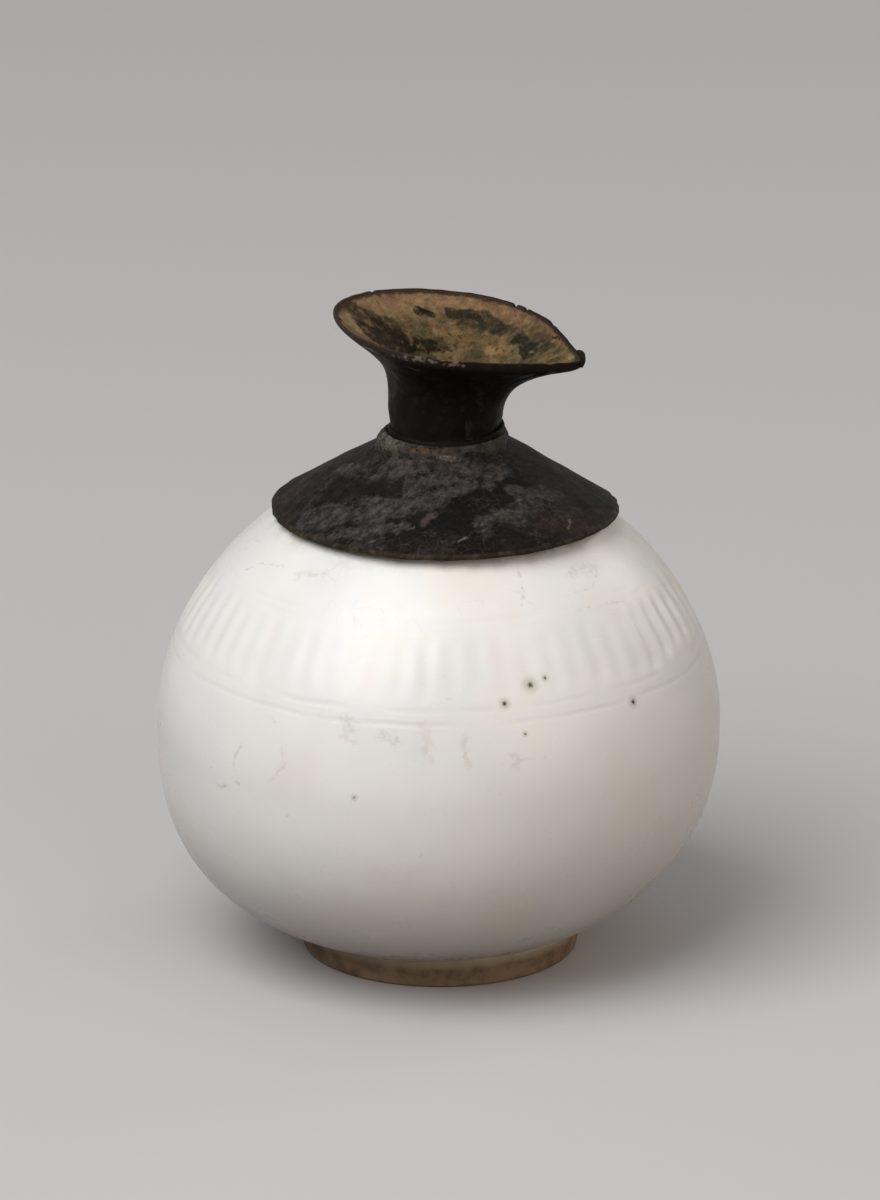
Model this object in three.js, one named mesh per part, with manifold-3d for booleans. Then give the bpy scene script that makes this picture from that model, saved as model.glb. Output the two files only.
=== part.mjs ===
// A spittoon: a round white porcelain jar on a low foot, with a loose sheet-metal mouthpiece that
// stands in for the jar's lost neck. Millimetres, +Z up, the floor at z = 0, the belly's widest
// circle centred on the Z axis, and the mouth's beak pointing to the front right.
import * as THREE from "three";
import { mergeVertices } from "three/addons/utils/BufferGeometryUtils.js";
import Module from "manifold-3d";

const wasm = await Module();
wasm.setup();

const DEGREE = Math.PI / 180;

// Driving dimensions of the jar's outside.
const BELLY_RADIUS = 65;
const BELLY_HEIGHT = 54.6;
const UPPER_RISE = 62.3; // from the widest circle to where the upper curve would close
const UPPER_POWER = 1.905; // 2 is an ellipse, more is squarer
const BELLY_BOTTOM = 2.5; // where the lower curve would close, above the floor
const LOWER_POWER = 2.41;
const BELLY_SAG = 1.6; // how far the lower belly has slumped to the left in the kiln
const UPPER_SHIFT = 0.2; // of the upper belly's axis to the right
const NECK_SHIFT = 1.5; // of the neck's and the mouthpiece's axis to the right
const SHOULDER_RISE = 46; // above the widest circle, where the shoulder leaves the belly's curve
const BEARING_RADIUS = 31; // the circle of the shoulder that carries the cone
const BEARING_RISE = 56; // of the cone's seat there above the widest circle

// The broken-off neck, ground down to a stub, and the hollow inside.
const STUB_RADIUS = 20.5;
const STUB_WALL = 4;
const STUB_RISE = 4.9; // of the ground top above the cone's seat
const STUB_ROOT_RISE = 2.7; // of the stub's root above the cone's seat
const STUB_FILLET = 1.5;
const STUB_EDGE = 0.6; // chamfer of the ground top
const JAR_WALL = 4.8;
const FLOOR_THICKNESS = 4.5;

// The foot ring, turned separately true on the wheel.
const FOOT_RADIUS = 31.9; // where it stands on the floor
const FOOT_FLARE = 1.3; // how much wider it is at its top
const FOOT_HEIGHT = 7;
const FOOT_WIDTH = 5;
const FOOT_RECESS = 5;
const FOOT_CHAMFER = 0.7;
const FOOT_SHIFT = 0.3; // of the foot's centre to the right
const FOOT_LAP = 0.6; // how far the foot reaches up into the belly

// The carved band round the upper belly.
const FLUTE_COUNT = 60;
const FLUTE_DEPTH = 0.45;
const FLUTE_LOW = 23.2; // of the band's lower end above the widest circle
const FLUTE_HEIGHT = 14.4;
const FLUTE_FADE = 2;

// The mouthpiece's cone.
const CONE_RADIUS = 39.8;
const CONE_SLOPE = 30.7; // degrees below the horizontal
const CONE_SHEET = 0.9;
const DIP_DEPTH = 2.1; // how far the cone's edge is bent down at the back right
const DIP_BEARING = 42; // degrees from the right towards the back
const DIP_WIDTH = 60; // degrees to either side
const DIP_START = 21; // radius at which the dip begins

// The neck and the bowl of the mouth.
const NECK_RADIUS = 12.6;
const NECK_SHEET = 1.1;
const NECK_SWELL = 0.6; // how much further out the neck stands above its collar
const FLARE_RISE = 6.25; // above the cone's top edge, where the neck begins to open
const FLARE_RISE_CHANGE = 1; // how much lower that is on the right
const NECK_RISE = 15.4; // above the cone's top edge, up to where the neck holds the flare in
const NECK_RISE_CHANGE = 3.95; // how much lower that is on the right
const THROAT_RISE = 18.1; // of the throat's unrounded corner above the cone's top edge
const THROAT_RISE_CHANGE = 1.5; // how much lower that is on the right
const THROAT_REACH = 4.2; // distance of that corner outside the neck
const THROAT_REACH_CHANGE = 0.95; // how much further out that is on the right
const MOUTH_RADIUS = 25.5;
const MOUTH_RISE = 26.3; // of the rim's centre above the cone's top edge
const MOUTH_SHIFT = 0.95; // of the rim's centre to the right of the neck's axis
const MOUTH_BACK_SHIFT = 0.5;
const MOUTH_ROLL = 5.84; // degrees that the rim falls to the right
const MOUTH_PITCH = 1.84; // degrees that the rim falls to the front
const RIM_WALL = 2.4; // height of the bowl's upright wall
const RIM_WALL_CHANGE = 0.6; // how much higher it is on the right
const RIM_TURN = 1; // how far inside the rim the underside begins to turn up
const RIM_FULLNESS = 0.6; // how full that turn is, as a share of the wall's height
const MOUTH_BULGE = 1.3; // how much further the rim reaches on its back left side
const BULGE_BEARING = 152; // degrees from the right towards the back
const BULGE_SHARPNESS = 3; // power of the cosine that the bulge fades by
const BEAK_REACH = 37.2; // of the beak's point from the rim's centre
const BEAK_LIFT = 0.9; // of the tip above the rim's plane
const BEAK_LEAN = 0.28; // how much sooner the underside turns up, per millimetre of the beak's reach
const BEAK_BEARING = -31; // degrees from the right towards the back
const BEAK_ROUNDING = 3; // degrees

// The collar and the solder round the neck's base.
const COLLAR_SHEET = 0.7;
const COLLAR_HEIGHT = 3;
const BEAD_WIDTH = 1.5;
const BEAD_HEIGHT = 2.2;
const BEAD_DRIFT = 0.75; // how much thicker it ran on the left than on average

// The hidden sleeve that plugs into the jar, its solder and the packing round it.
const SLEEVE_RADIUS = 13.2;
const SLEEVE_SHEET = 1;
const SLEEVE_LENGTH = 13; // below the stub's ground top
const FLANGE_WIDTH = 4.8;
const FLANGE_SOLDER_WIDTH = 2;
const FLANGE_SOLDER_DEPTH = 1;
const PACKING_DEPTH = 7;
const PACKING_BRIM = 1.2;
const PACKING_BRIM_WIDTH = 4;

const CLEARANCE = 0.3; // between a piece and its neighbour

// Facets round each turned surface, and steps along each curve.
const JAR_FACETS = 2 * FLUTE_COUNT;
const CAVITY_FACETS = 60;
const FOOT_FACETS = 72;
const CONE_FACETS = 96;
const RING_FACETS = 64;
const MOUTH_FACETS = 72;
const MOUTH_CROWDING = 0.5; // how much closer together the mouth's facets lie at the beak
const LOWER_STEPS = 7;
const UPPER_STEPS = 3;
const SHOULDER_STEPS = 3;
const ROOT_STEPS = 2;
const UNDERSIDE_STEPS = 8;
const LIP_STEPS = 2;
const BEAD_STEPS = 5;

// Heights and radii that follow from the driving dimensions.
const shoulderHeight = BELLY_HEIGHT + SHOULDER_RISE;
const seatHeight = BELLY_HEIGHT + BEARING_RISE;
const bearingHeight = seatHeight - dipDepth(BEARING_RADIUS);
const bellyDrop = BELLY_HEIGHT - BELLY_BOTTOM;
const stubTop = seatHeight + STUB_RISE;
const boreRadius = STUB_RADIUS - STUB_WALL;
const coneTangent = Math.tan(CONE_SLOPE * DEGREE);
const coneUprightSheet = CONE_SHEET / Math.cos(CONE_SLOPE * DEGREE);
const neckHole = NECK_RADIUS + CLEARANCE;
const collarOutside = neckHole + COLLAR_SHEET;
const coneTop = coneUpper(neckHole);
const beakBearing = BEAK_BEARING * DEGREE;
const bulgeBearing = BULGE_BEARING * DEGREE;

// Height of the undented cone's underside at a radius from the neck's axis.
function coneUnder(radius) {
  return seatHeight + CLEARANCE + (BEARING_RADIUS - radius) * coneTangent;
}

// Height of the undented cone's upper face at a radius from the neck's axis.
function coneUpper(radius) {
  return coneUnder(radius) + coneUprightSheet;
}

// How far the deepest line of the cone's dip lies below the undented cone at a radius.
function dipDepth(radius) {
  return (DIP_DEPTH * Math.max(radius - DIP_START, 0)) / (CONE_RADIUS - DIP_START);
}

// Straight blend from 0 to 1 with soft ends.
function ease(from, to, value) {
  return THREE.MathUtils.smoothstep(value, from, to);
}

// Radius of the belly's rounded outline, or of one drawn inside it by inset, at a height.
function bellyRadius(height, inset = 0, drop = bellyDrop) {
  const above = height >= BELLY_HEIGHT;
  const power = above ? UPPER_POWER : LOWER_POWER;
  const reach = above ? UPPER_RISE - inset : drop;
  const share = Math.min(Math.abs(height - BELLY_HEIGHT) / reach, 1);
  return (BELLY_RADIUS - inset) * Math.pow(1 - Math.pow(share, power), 1 / power);
}

// Heights between two heights on one side of the widest circle, closer where the outline turns fast.
function bellyHeights(from, to, steps, reach, power) {
  const side = Math.sign(from + to - 2 * BELLY_HEIGHT);
  const turn = (height) => {
    const share = Math.min(Math.abs(height - BELLY_HEIGHT) / reach, 1);
    return Math.asin(Math.pow(share, power / 2));
  };
  const start = turn(from);
  const end = turn(to);
  return Array.from({ length: steps + 1 }, (_, i) => {
    const angle = THREE.MathUtils.lerp(start, end, i / steps);
    return BELLY_HEIGHT + side * reach * Math.pow(Math.sin(angle), 2 / power);
  });
}

// Points of a curve that leaves one point and enters another in the given directions.
function sweepBetween(from, leaving, to, entering, steps) {
  const handle = from.distanceTo(to) / 3;
  const first = from.clone().addScaledVector(leaving.clone().normalize(), handle);
  const last = to.clone().addScaledVector(entering.clone().normalize(), -handle);
  return new THREE.CubicBezierCurve(from, first, last, to).getPoints(steps);
}

// Turns a profile of (radius, height) points round the Z axis.
function turned(profile, facets) {
  return new THREE.LatheGeometry(profile, facets).rotateX(Math.PI / 2);
}

// Moves each vertex by a function that changes the point in place.
function reshaped(geometry, change) {
  const places = geometry.attributes.position;
  const point = new THREE.Vector3();
  for (let i = 0; i < places.count; i += 1) {
    change(point.fromBufferAttribute(places, i));
    places.setXYZ(i, point.x, point.y, point.z);
  }
  return geometry;
}

// Makes a closed solid of a geometry, whichever way its faces were wound.
function solid(geometry) {
  const bare = new THREE.BufferGeometry();
  bare.setAttribute("position", geometry.getAttribute("position"));
  if (geometry.index) {
    bare.setIndex(geometry.index);
  }
  const merged = mergeVertices(bare, 1e-4);
  const triangles = Array.from(merged.index.array);
  const kept = [];
  for (let i = 0; i < triangles.length; i += 3) {
    const [a, b, c] = triangles.slice(i, i + 3);
    if (a !== b && b !== c && c !== a) {
      kept.push(a, b, c);
    }
  }
  const build = (indices) =>
    new wasm.Manifold(
      new wasm.Mesh({
        numProp: 3,
        vertProperties: merged.attributes.position.array,
        triVerts: new Uint32Array(indices),
      }),
    );
  const made = build(kept);
  return made.volume() > 0 ? made : build(kept.reverse());
}

// Brings a solid back as a geometry with flat-shaded faces.
function geometryOf(body) {
  const mesh = body.getMesh();
  const geometry = new THREE.BufferGeometry();
  geometry.setAttribute("position", new THREE.BufferAttribute(mesh.vertProperties, 3));
  geometry.setIndex(new THREE.BufferAttribute(mesh.triVerts, 1));
  const flat = geometry.toNonIndexed();
  flat.computeVertexNormals();
  return flat;
}

// Sideways place of the jar's axis at a height: slumped left below the belly, drawn right at the neck.
function axisDrift(height) {
  const slump = BELLY_SAG * (1 - ease(FOOT_HEIGHT, BELLY_HEIGHT, height));
  const upper = UPPER_SHIFT * ease(BELLY_HEIGHT, shoulderHeight, height);
  const neck = (NECK_SHIFT - UPPER_SHIFT) * ease(shoulderHeight, bearingHeight, height);
  return upper + neck - slump;
}

// How deep the flutes are at a height, from 0 to 1.
function fluteShare(height) {
  const low = BELLY_HEIGHT + FLUTE_LOW;
  const high = low + FLUTE_HEIGHT;
  return ease(low, low + FLUTE_FADE, height) * (1 - ease(high - FLUTE_FADE, high, height));
}

// Outline of the jar from the foot's top to the middle of the ground stub.
function jarOutline() {
  const start = FOOT_HEIGHT - FOOT_LAP;
  const bandLow = BELLY_HEIGHT + FLUTE_LOW;
  const bandHigh = bandLow + FLUTE_HEIGHT;
  const heights = [
    ...bellyHeights(start, BELLY_HEIGHT, LOWER_STEPS, bellyDrop, LOWER_POWER),
    ...bellyHeights(BELLY_HEIGHT, bandLow, UPPER_STEPS, UPPER_RISE, UPPER_POWER).slice(1),
    bandLow + FLUTE_FADE,
    bandLow + FLUTE_HEIGHT / 2,
    bandHigh - FLUTE_FADE,
    ...bellyHeights(bandHigh, shoulderHeight, UPPER_STEPS - 1, UPPER_RISE, UPPER_POWER),
  ];
  const belly = heights.map((height) => new THREE.Vector2(bellyRadius(height), height));
  const last = belly[belly.length - 1];
  const step = 0.1;
  const leaving = new THREE.Vector2(last.x - bellyRadius(last.y - step), step);
  const bearing = new THREE.Vector2(BEARING_RADIUS, bearingHeight);
  const alongCone = new THREE.Vector2(-1, coneTangent);
  const root = new THREE.Vector2(STUB_RADIUS + STUB_FILLET, seatHeight + STUB_ROOT_RISE);
  const flat = new THREE.Vector2(-1, 0);
  return [
    new THREE.Vector2(0, start),
    ...belly,
    ...sweepBetween(last, leaving, bearing, alongCone, SHOULDER_STEPS).slice(1),
    ...sweepBetween(bearing, alongCone, root, flat, ROOT_STEPS).slice(1),
    new THREE.Vector2(STUB_RADIUS, root.y + STUB_FILLET / 2),
    new THREE.Vector2(STUB_RADIUS, stubTop - STUB_EDGE),
    new THREE.Vector2(STUB_RADIUS - STUB_EDGE, stubTop),
    new THREE.Vector2(0, stubTop),
  ];
}

// Outline of the hollow inside the jar, from its floor up through the bore.
function cavityOutline() {
  const floor = FOOT_RECESS + FLOOR_THICKNESS;
  const drop = BELLY_HEIGHT - floor;
  const rise = UPPER_RISE - JAR_WALL;
  const boreShare = Math.pow(boreRadius / (BELLY_RADIUS - JAR_WALL), UPPER_POWER);
  const boreStart = BELLY_HEIGHT + rise * Math.pow(1 - boreShare, 1 / UPPER_POWER);
  const heights = [
    ...bellyHeights(floor, BELLY_HEIGHT, LOWER_STEPS, drop, LOWER_POWER),
    ...bellyHeights(BELLY_HEIGHT, boreStart, 2 * UPPER_STEPS, rise, UPPER_POWER).slice(1),
  ];
  return [
    ...heights.map((height) => new THREE.Vector2(bellyRadius(height, JAR_WALL, drop), height)),
    new THREE.Vector2(boreRadius, stubTop + CLEARANCE),
    new THREE.Vector2(0, stubTop + CLEARANCE),
  ];
}

// The porcelain jar: fluted, slumped body, foot ring and ground neck stub in one fired piece.
function jarBody() {
  const slump = (point) => {
    point.x += axisDrift(point.z);
  };
  const fluteTurn = (2 * Math.PI) / FLUTE_COUNT;
  const carve = (point) => {
    const turns = Math.atan2(point.y, point.x) / fluteTurn;
    const valley = Math.round(2 * turns) % 2 !== 0;
    const radius = Math.hypot(point.x, point.y);
    if (valley && radius > 0) {
      const left = radius - FLUTE_DEPTH * fluteShare(point.z);
      point.x *= left / radius;
      point.y *= left / radius;
    }
    slump(point);
  };
  const body = solid(reshaped(turned(jarOutline(), JAR_FACETS), carve));
  const cavity = solid(reshaped(turned(cavityOutline(), CAVITY_FACETS), slump));
  const footTop = FOOT_RADIUS + FOOT_FLARE;
  const foot = [
    new THREE.Vector2(0, 0),
    new THREE.Vector2(FOOT_RADIUS - FOOT_CHAMFER, 0),
    new THREE.Vector2(FOOT_RADIUS, FOOT_CHAMFER),
    new THREE.Vector2(footTop, FOOT_HEIGHT - FOOT_CHAMFER),
    new THREE.Vector2(footTop - FOOT_CHAMFER, FOOT_HEIGHT),
    new THREE.Vector2(0, FOOT_HEIGHT),
  ];
  const recess = [
    new THREE.Vector2(0, -CLEARANCE),
    new THREE.Vector2(FOOT_RADIUS - FOOT_WIDTH, -CLEARANCE),
    new THREE.Vector2(FOOT_RADIUS - FOOT_WIDTH, FOOT_RECESS - FOOT_CHAMFER),
    new THREE.Vector2(FOOT_RADIUS - FOOT_WIDTH - FOOT_CHAMFER, FOOT_RECESS),
    new THREE.Vector2(0, FOOT_RECESS),
  ];
  const footSolid = solid(turned(foot, FOOT_FACETS).translate(FOOT_SHIFT, 0, 0));
  const recessSolid = solid(turned(recess, FOOT_FACETS).translate(FOOT_SHIFT, 0, 0));
  return geometryOf(body.add(footSolid).subtract(cavity).subtract(recessSolid));
}

// The conical skirt of sheet metal over the stub and shoulder, its edge bent down at the back right.
function shoulderCone() {
  const bend = (point) => {
    const offDip = (Math.atan2(point.y, point.x) / DEGREE - DIP_BEARING) / DIP_WIDTH;
    const share = Math.abs(offDip) < 1 ? Math.cos((offDip * Math.PI) / 2) ** 2 : 0;
    point.z -= share * dipDepth(Math.hypot(point.x, point.y));
  };
  const profile = [
    new THREE.Vector2(CONE_RADIUS, coneUnder(CONE_RADIUS)),
    new THREE.Vector2(CONE_RADIUS, coneUpper(CONE_RADIUS)),
    new THREE.Vector2(DIP_START, coneUpper(DIP_START)),
    new THREE.Vector2(neckHole, coneTop),
    new THREE.Vector2(neckHole, coneUnder(neckHole)),
    new THREE.Vector2(DIP_START, coneUnder(DIP_START)),
    new THREE.Vector2(CONE_RADIUS, coneUnder(CONE_RADIUS)),
  ];
  return reshaped(turned(profile, CONE_FACETS), bend);
}

// Distance from the rim's centre to the rim in a direction: a circle drawn out to a beak by two tangents,
// and a little fuller on its back left side.
function rimRadius(direction) {
  const fromBack = THREE.MathUtils.euclideanModulo(direction - beakBearing + Math.PI, 2 * Math.PI);
  const offBeak = Math.hypot(fromBack - Math.PI, BEAK_ROUNDING * DEGREE);
  const tangent = Math.acos(MOUTH_RADIUS / BEAK_REACH);
  const radius = offBeak < tangent ? MOUTH_RADIUS / Math.cos(tangent - offBeak) : MOUTH_RADIUS;
  return radius + MOUTH_BULGE * Math.max(Math.cos(direction - bulgeBearing), 0) ** BULGE_SHARPNESS;
}

// Height of the tilted rim above a point of plan; the beak's tip turns up a little.
function rimHeight(x, y) {
  const fall = x * Math.tan(MOUTH_ROLL * DEGREE) - y * Math.tan(MOUTH_PITCH * DEGREE);
  const outwards = Math.max(Math.hypot(x, y) - MOUTH_RADIUS, 0) / (BEAK_REACH - MOUTH_RADIUS);
  return coneTop + MOUTH_RISE - fall + BEAK_LIFT * outwards ** 2;
}

// Outer side of the neck and bowl in one direction, as points (radius, height), from the foot to the rim:
// up the neck, out through the throat, along the bowl's underside and up the rim's short wall.
function flareOutline(direction, foot) {
  const right = Math.cos(direction);
  const reach = rimRadius(direction);
  const top = rimHeight(reach * right, reach * Math.sin(direction));
  const wall = RIM_WALL + RIM_WALL_CHANGE * right;
  const turn = RIM_TURN + BEAK_LEAN * (reach - MOUTH_RADIUS);
  const neck = NECK_RADIUS + NECK_SWELL;
  const throat = neck + THROAT_REACH + THROAT_REACH_CHANGE * right;
  const underside = new THREE.CubicBezierCurve(
    new THREE.Vector2(neck, coneTop + FLARE_RISE - FLARE_RISE_CHANGE * right),
    new THREE.Vector2(neck, coneTop + NECK_RISE - NECK_RISE_CHANGE * right),
    new THREE.Vector2(throat, coneTop + THROAT_RISE - THROAT_RISE_CHANGE * right),
    new THREE.Vector2(reach - turn, top - wall),
  );
  const lip = new THREE.QuadraticBezierCurve(
    new THREE.Vector2(reach - turn, top - wall),
    new THREE.Vector2(reach, top - wall * RIM_FULLNESS),
    new THREE.Vector2(reach, top),
  );
  return [
    new THREE.Vector2(NECK_RADIUS, foot),
    new THREE.Vector2(NECK_RADIUS, coneTop + COLLAR_HEIGHT + CLEARANCE),
    ...underside.getPoints(UNDERSIDE_STEPS),
    ...lip.getPoints(LIP_STEPS).slice(1),
  ];
}

// The same outline moved inwards by the sheet's thickness, square to itself.
function innerOutline(outline, sheet) {
  return outline.map((point, i) => {
    const before = outline[Math.max(i - 1, 0)];
    const after = outline[Math.min(i + 1, outline.length - 1)];
    const along = after.clone().sub(before).normalize();
    return new THREE.Vector2(point.x - along.y * sheet, point.y + along.x * sheet);
  });
}

// The mouth: a neck that opens into a tilted bowl with a beak, one piece of sheet.
function mouthFunnel() {
  const foot = coneUnder(SLEEVE_RADIUS - SLEEVE_SHEET);
  const places = [];
  const triangles = [];
  let loop = 0;
  for (let j = 0; j < MOUTH_FACETS; j += 1) {
    const even = ((j - MOUTH_FACETS / 2) / MOUTH_FACETS) * 2 * Math.PI;
    const direction = beakBearing + even - MOUTH_CROWDING * Math.sin(even);
    const outer = flareOutline(direction, foot);
    const section = [...outer, ...innerOutline(outer, NECK_SHEET).reverse()];
    const rim = outer[outer.length - 1].y;
    loop = section.length;
    for (const point of section) {
      const share = ease(coneTop + COLLAR_HEIGHT, rim, point.y);
      places.push(
        share * MOUTH_SHIFT + point.x * Math.cos(direction),
        share * MOUTH_BACK_SHIFT + point.x * Math.sin(direction),
        point.y,
      );
    }
    const next = (j + 1) % MOUTH_FACETS;
    for (let i = 0; i < loop; i += 1) {
      const up = (i + 1) % loop;
      triangles.push(j * loop + i, next * loop + i, next * loop + up);
      triangles.push(j * loop + i, next * loop + up, j * loop + up);
    }
  }
  const geometry = new THREE.BufferGeometry();
  geometry.setAttribute("position", new THREE.Float32BufferAttribute(places, 3));
  geometry.setIndex(triangles);
  return geometryOf(solid(geometry));
}

// The thin collar that stands up round the neck's base.
function neckCollar() {
  const foot = coneTop + CLEARANCE;
  return turned(
    [
      new THREE.Vector2(neckHole, foot),
      new THREE.Vector2(collarOutside, foot),
      new THREE.Vector2(collarOutside, foot + COLLAR_HEIGHT),
      new THREE.Vector2(neckHole, foot + COLLAR_HEIGHT),
      new THREE.Vector2(neckHole, foot),
    ],
    RING_FACETS,
  );
}

// The bead of solder that ties collar, neck and cone, run thicker on the left.
function solderBead() {
  const inside = collarOutside + CLEARANCE;
  const under = (radius) => coneUpper(radius) + CLEARANCE;
  const foot = under(inside);
  const profile = [new THREE.Vector2(inside, foot)];
  for (let i = 0; i <= BEAD_STEPS; i += 1) {
    const angle = (i / BEAD_STEPS) * (Math.PI / 2);
    const radius = inside + BEAD_WIDTH * Math.cos(angle);
    profile.push(new THREE.Vector2(radius, under(radius) + BEAD_HEIGHT * Math.sin(angle)));
  }
  profile.push(new THREE.Vector2(inside, foot));
  const drift = (point) => {
    const radius = Math.hypot(point.x, point.y);
    const left = -point.x / radius;
    const share = (radius - inside) / BEAD_WIDTH;
    const grown = radius + share * BEAD_DRIFT * left;
    point.z -= (grown - radius) * coneTangent;
    point.x *= grown / radius;
    point.y *= grown / radius;
  };
  return reshaped(turned(profile, RING_FACETS), drift);
}

// The sleeve that plugs into the jar's bore, with its flange turned out under the cone.
function tenonSleeve() {
  const inside = SLEEVE_RADIUS - SLEEVE_SHEET;
  const flangeEdge = SLEEVE_RADIUS + FLANGE_WIDTH;
  const foot = stubTop - SLEEVE_LENGTH;
  const upper = (radius) => coneUnder(radius) - CLEARANCE;
  const thick = SLEEVE_SHEET / Math.cos(CONE_SLOPE * DEGREE);
  return turned(
    [
      new THREE.Vector2(inside, foot),
      new THREE.Vector2(SLEEVE_RADIUS, foot),
      new THREE.Vector2(SLEEVE_RADIUS, upper(SLEEVE_RADIUS) - thick),
      new THREE.Vector2(flangeEdge, upper(flangeEdge) - thick),
      new THREE.Vector2(flangeEdge, upper(flangeEdge)),
      new THREE.Vector2(inside, upper(inside)),
      new THREE.Vector2(inside, foot),
    ],
    RING_FACETS,
  );
}

// The seam of solder that holds the flange's edge to the underside of the cone.
function flangeSolder() {
  const inside = SLEEVE_RADIUS + FLANGE_WIDTH + CLEARANCE;
  const outside = inside + FLANGE_SOLDER_WIDTH;
  const upper = (radius) => coneUnder(radius) - CLEARANCE;
  return turned(
    [
      new THREE.Vector2(inside, upper(inside) - FLANGE_SOLDER_DEPTH),
      new THREE.Vector2(outside, upper(outside) - CLEARANCE),
      new THREE.Vector2(outside, upper(outside)),
      new THREE.Vector2(inside, upper(inside)),
      new THREE.Vector2(inside, upper(inside) - FLANGE_SOLDER_DEPTH),
    ],
    RING_FACETS,
  );
}

// The ring of hemp packing between the sleeve and the bore, with a brim that sits on the stub.
function packingRing() {
  const inside = SLEEVE_RADIUS + CLEARANCE;
  const outside = boreRadius - CLEARANCE;
  const brim = inside + PACKING_BRIM_WIDTH;
  const seat = stubTop + CLEARANCE;
  return turned(
    [
      new THREE.Vector2(inside, seat - PACKING_DEPTH),
      new THREE.Vector2(outside, seat - PACKING_DEPTH),
      new THREE.Vector2(outside, seat),
      new THREE.Vector2(brim, seat),
      new THREE.Vector2(brim, seat + PACKING_BRIM / 2),
      new THREE.Vector2(brim - PACKING_BRIM / 2, seat + PACKING_BRIM),
      new THREE.Vector2(inside, seat + PACKING_BRIM),
      new THREE.Vector2(inside, seat - PACKING_DEPTH),
    ],
    RING_FACETS,
  );
}

// Finishes, as the eye reads them.
const finishes = {
  porcelain: { color: 0xeeebe4, roughness: 0.22, metalness: 0 },
  tarnishedSheet: { color: 0x2a2623, roughness: 0.5, metalness: 0.75 },
  blackNeck: { color: 0x1b1714, roughness: 0.4, metalness: 0.75 },
  solder: { color: 0x6a655d, roughness: 0.75, metalness: 0.5 },
  hemp: { color: 0x8c7550, roughness: 0.95, metalness: 0 },
};

const spittoon = new THREE.Group();
const mouthAxis = new THREE.Group();
mouthAxis.position.x = NECK_SHIFT;
spittoon.add(mouthAxis);

// Adds one named piece to a group.
function place(group, name, geometry, finish) {
  const mesh = new THREE.Mesh(geometryOf(solid(geometry)), new THREE.MeshStandardMaterial(finish));
  mesh.name = name;
  group.add(mesh);
}

place(spittoon, "jar_body", jarBody(), finishes.porcelain);
place(mouthAxis, "packing_ring", packingRing(), finishes.hemp);
place(mouthAxis, "tenon_sleeve", tenonSleeve(), finishes.tarnishedSheet);
place(mouthAxis, "flange_solder", flangeSolder(), finishes.solder);
place(mouthAxis, "shoulder_cone", shoulderCone(), finishes.tarnishedSheet);
place(mouthAxis, "solder_bead", solderBead(), finishes.solder);
place(mouthAxis, "neck_collar", neckCollar(), finishes.blackNeck);
place(mouthAxis, "mouth_funnel", mouthFunnel(), finishes.blackNeck);

export default spittoon;
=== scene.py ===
"""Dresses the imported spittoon: porcelain jar, metal mouthpiece and the packing between them.

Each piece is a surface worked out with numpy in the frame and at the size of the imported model.
Sizes are in millimetres and become metres when a mesh is made. +Z is up, the front is -Y.
"""

import logging
import math
from collections.abc import Sequence
from dataclasses import dataclass, field
from enum import Enum
from itertools import product

import bpy
import numpy as np
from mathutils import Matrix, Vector


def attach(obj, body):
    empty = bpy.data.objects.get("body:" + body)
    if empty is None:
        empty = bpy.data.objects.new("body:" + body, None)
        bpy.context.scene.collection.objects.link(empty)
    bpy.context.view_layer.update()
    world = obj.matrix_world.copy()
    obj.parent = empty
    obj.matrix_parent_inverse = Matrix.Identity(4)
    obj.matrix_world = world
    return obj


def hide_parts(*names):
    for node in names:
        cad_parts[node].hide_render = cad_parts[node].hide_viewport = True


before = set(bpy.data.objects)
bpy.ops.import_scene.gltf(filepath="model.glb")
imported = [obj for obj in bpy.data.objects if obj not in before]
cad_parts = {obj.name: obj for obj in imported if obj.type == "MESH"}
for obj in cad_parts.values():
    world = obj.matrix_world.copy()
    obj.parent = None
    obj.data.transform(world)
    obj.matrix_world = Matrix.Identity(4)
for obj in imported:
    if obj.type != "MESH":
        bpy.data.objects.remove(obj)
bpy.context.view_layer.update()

MM = 0.001
FULL_TURN = 2.0 * math.pi
# The mouth's rim lies where x, y and z times RIM_SLOPE's values add up to about RIM_LEVEL millimetres.
RIM_SLOPE = (0.1023, -0.0321, 1.0)
RIM_LEVEL = 149.2
LOG = logging.getLogger("spittoon")

Array = np.ndarray
Point = tuple[float, float, float]
Color = tuple[float, float, float, float]
Layer = tuple[float, float, int]
Value = float | Sequence[float] | bpy.types.NodeSocket


class Closing(Enum):
    """How the profile of a piece is closed."""

    LOOP = "the last point joins the first"
    POLES = "both ends are single points"


class Slot(Enum):
    """The record's material slots."""

    PORCELAIN = "porcelain"
    SHEET = "tarnished_sheet"
    NECK = "black_neck"
    SOLDER = "solder"
    HEMP = "hemp"


def soft_step(low: float | Array, high: float | Array, value: float | Array) -> Array:
    """Rises from 0 at low to 1 at high with soft ends.

    Formula: with t the share of the way from low to high, cut off at 0 and 1, 3 t squared - 2 t cubed.

    Args:
        low: Value at which the step starts.
        high: Value at which it ends.
        value: Where it is read.

    Returns:
        The step's height, between 0 and 1.
    """
    share = np.clip((value - low) / (high - low), 0.0, 1.0)
    return share * share * (3.0 - 2.0 * share)


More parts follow.
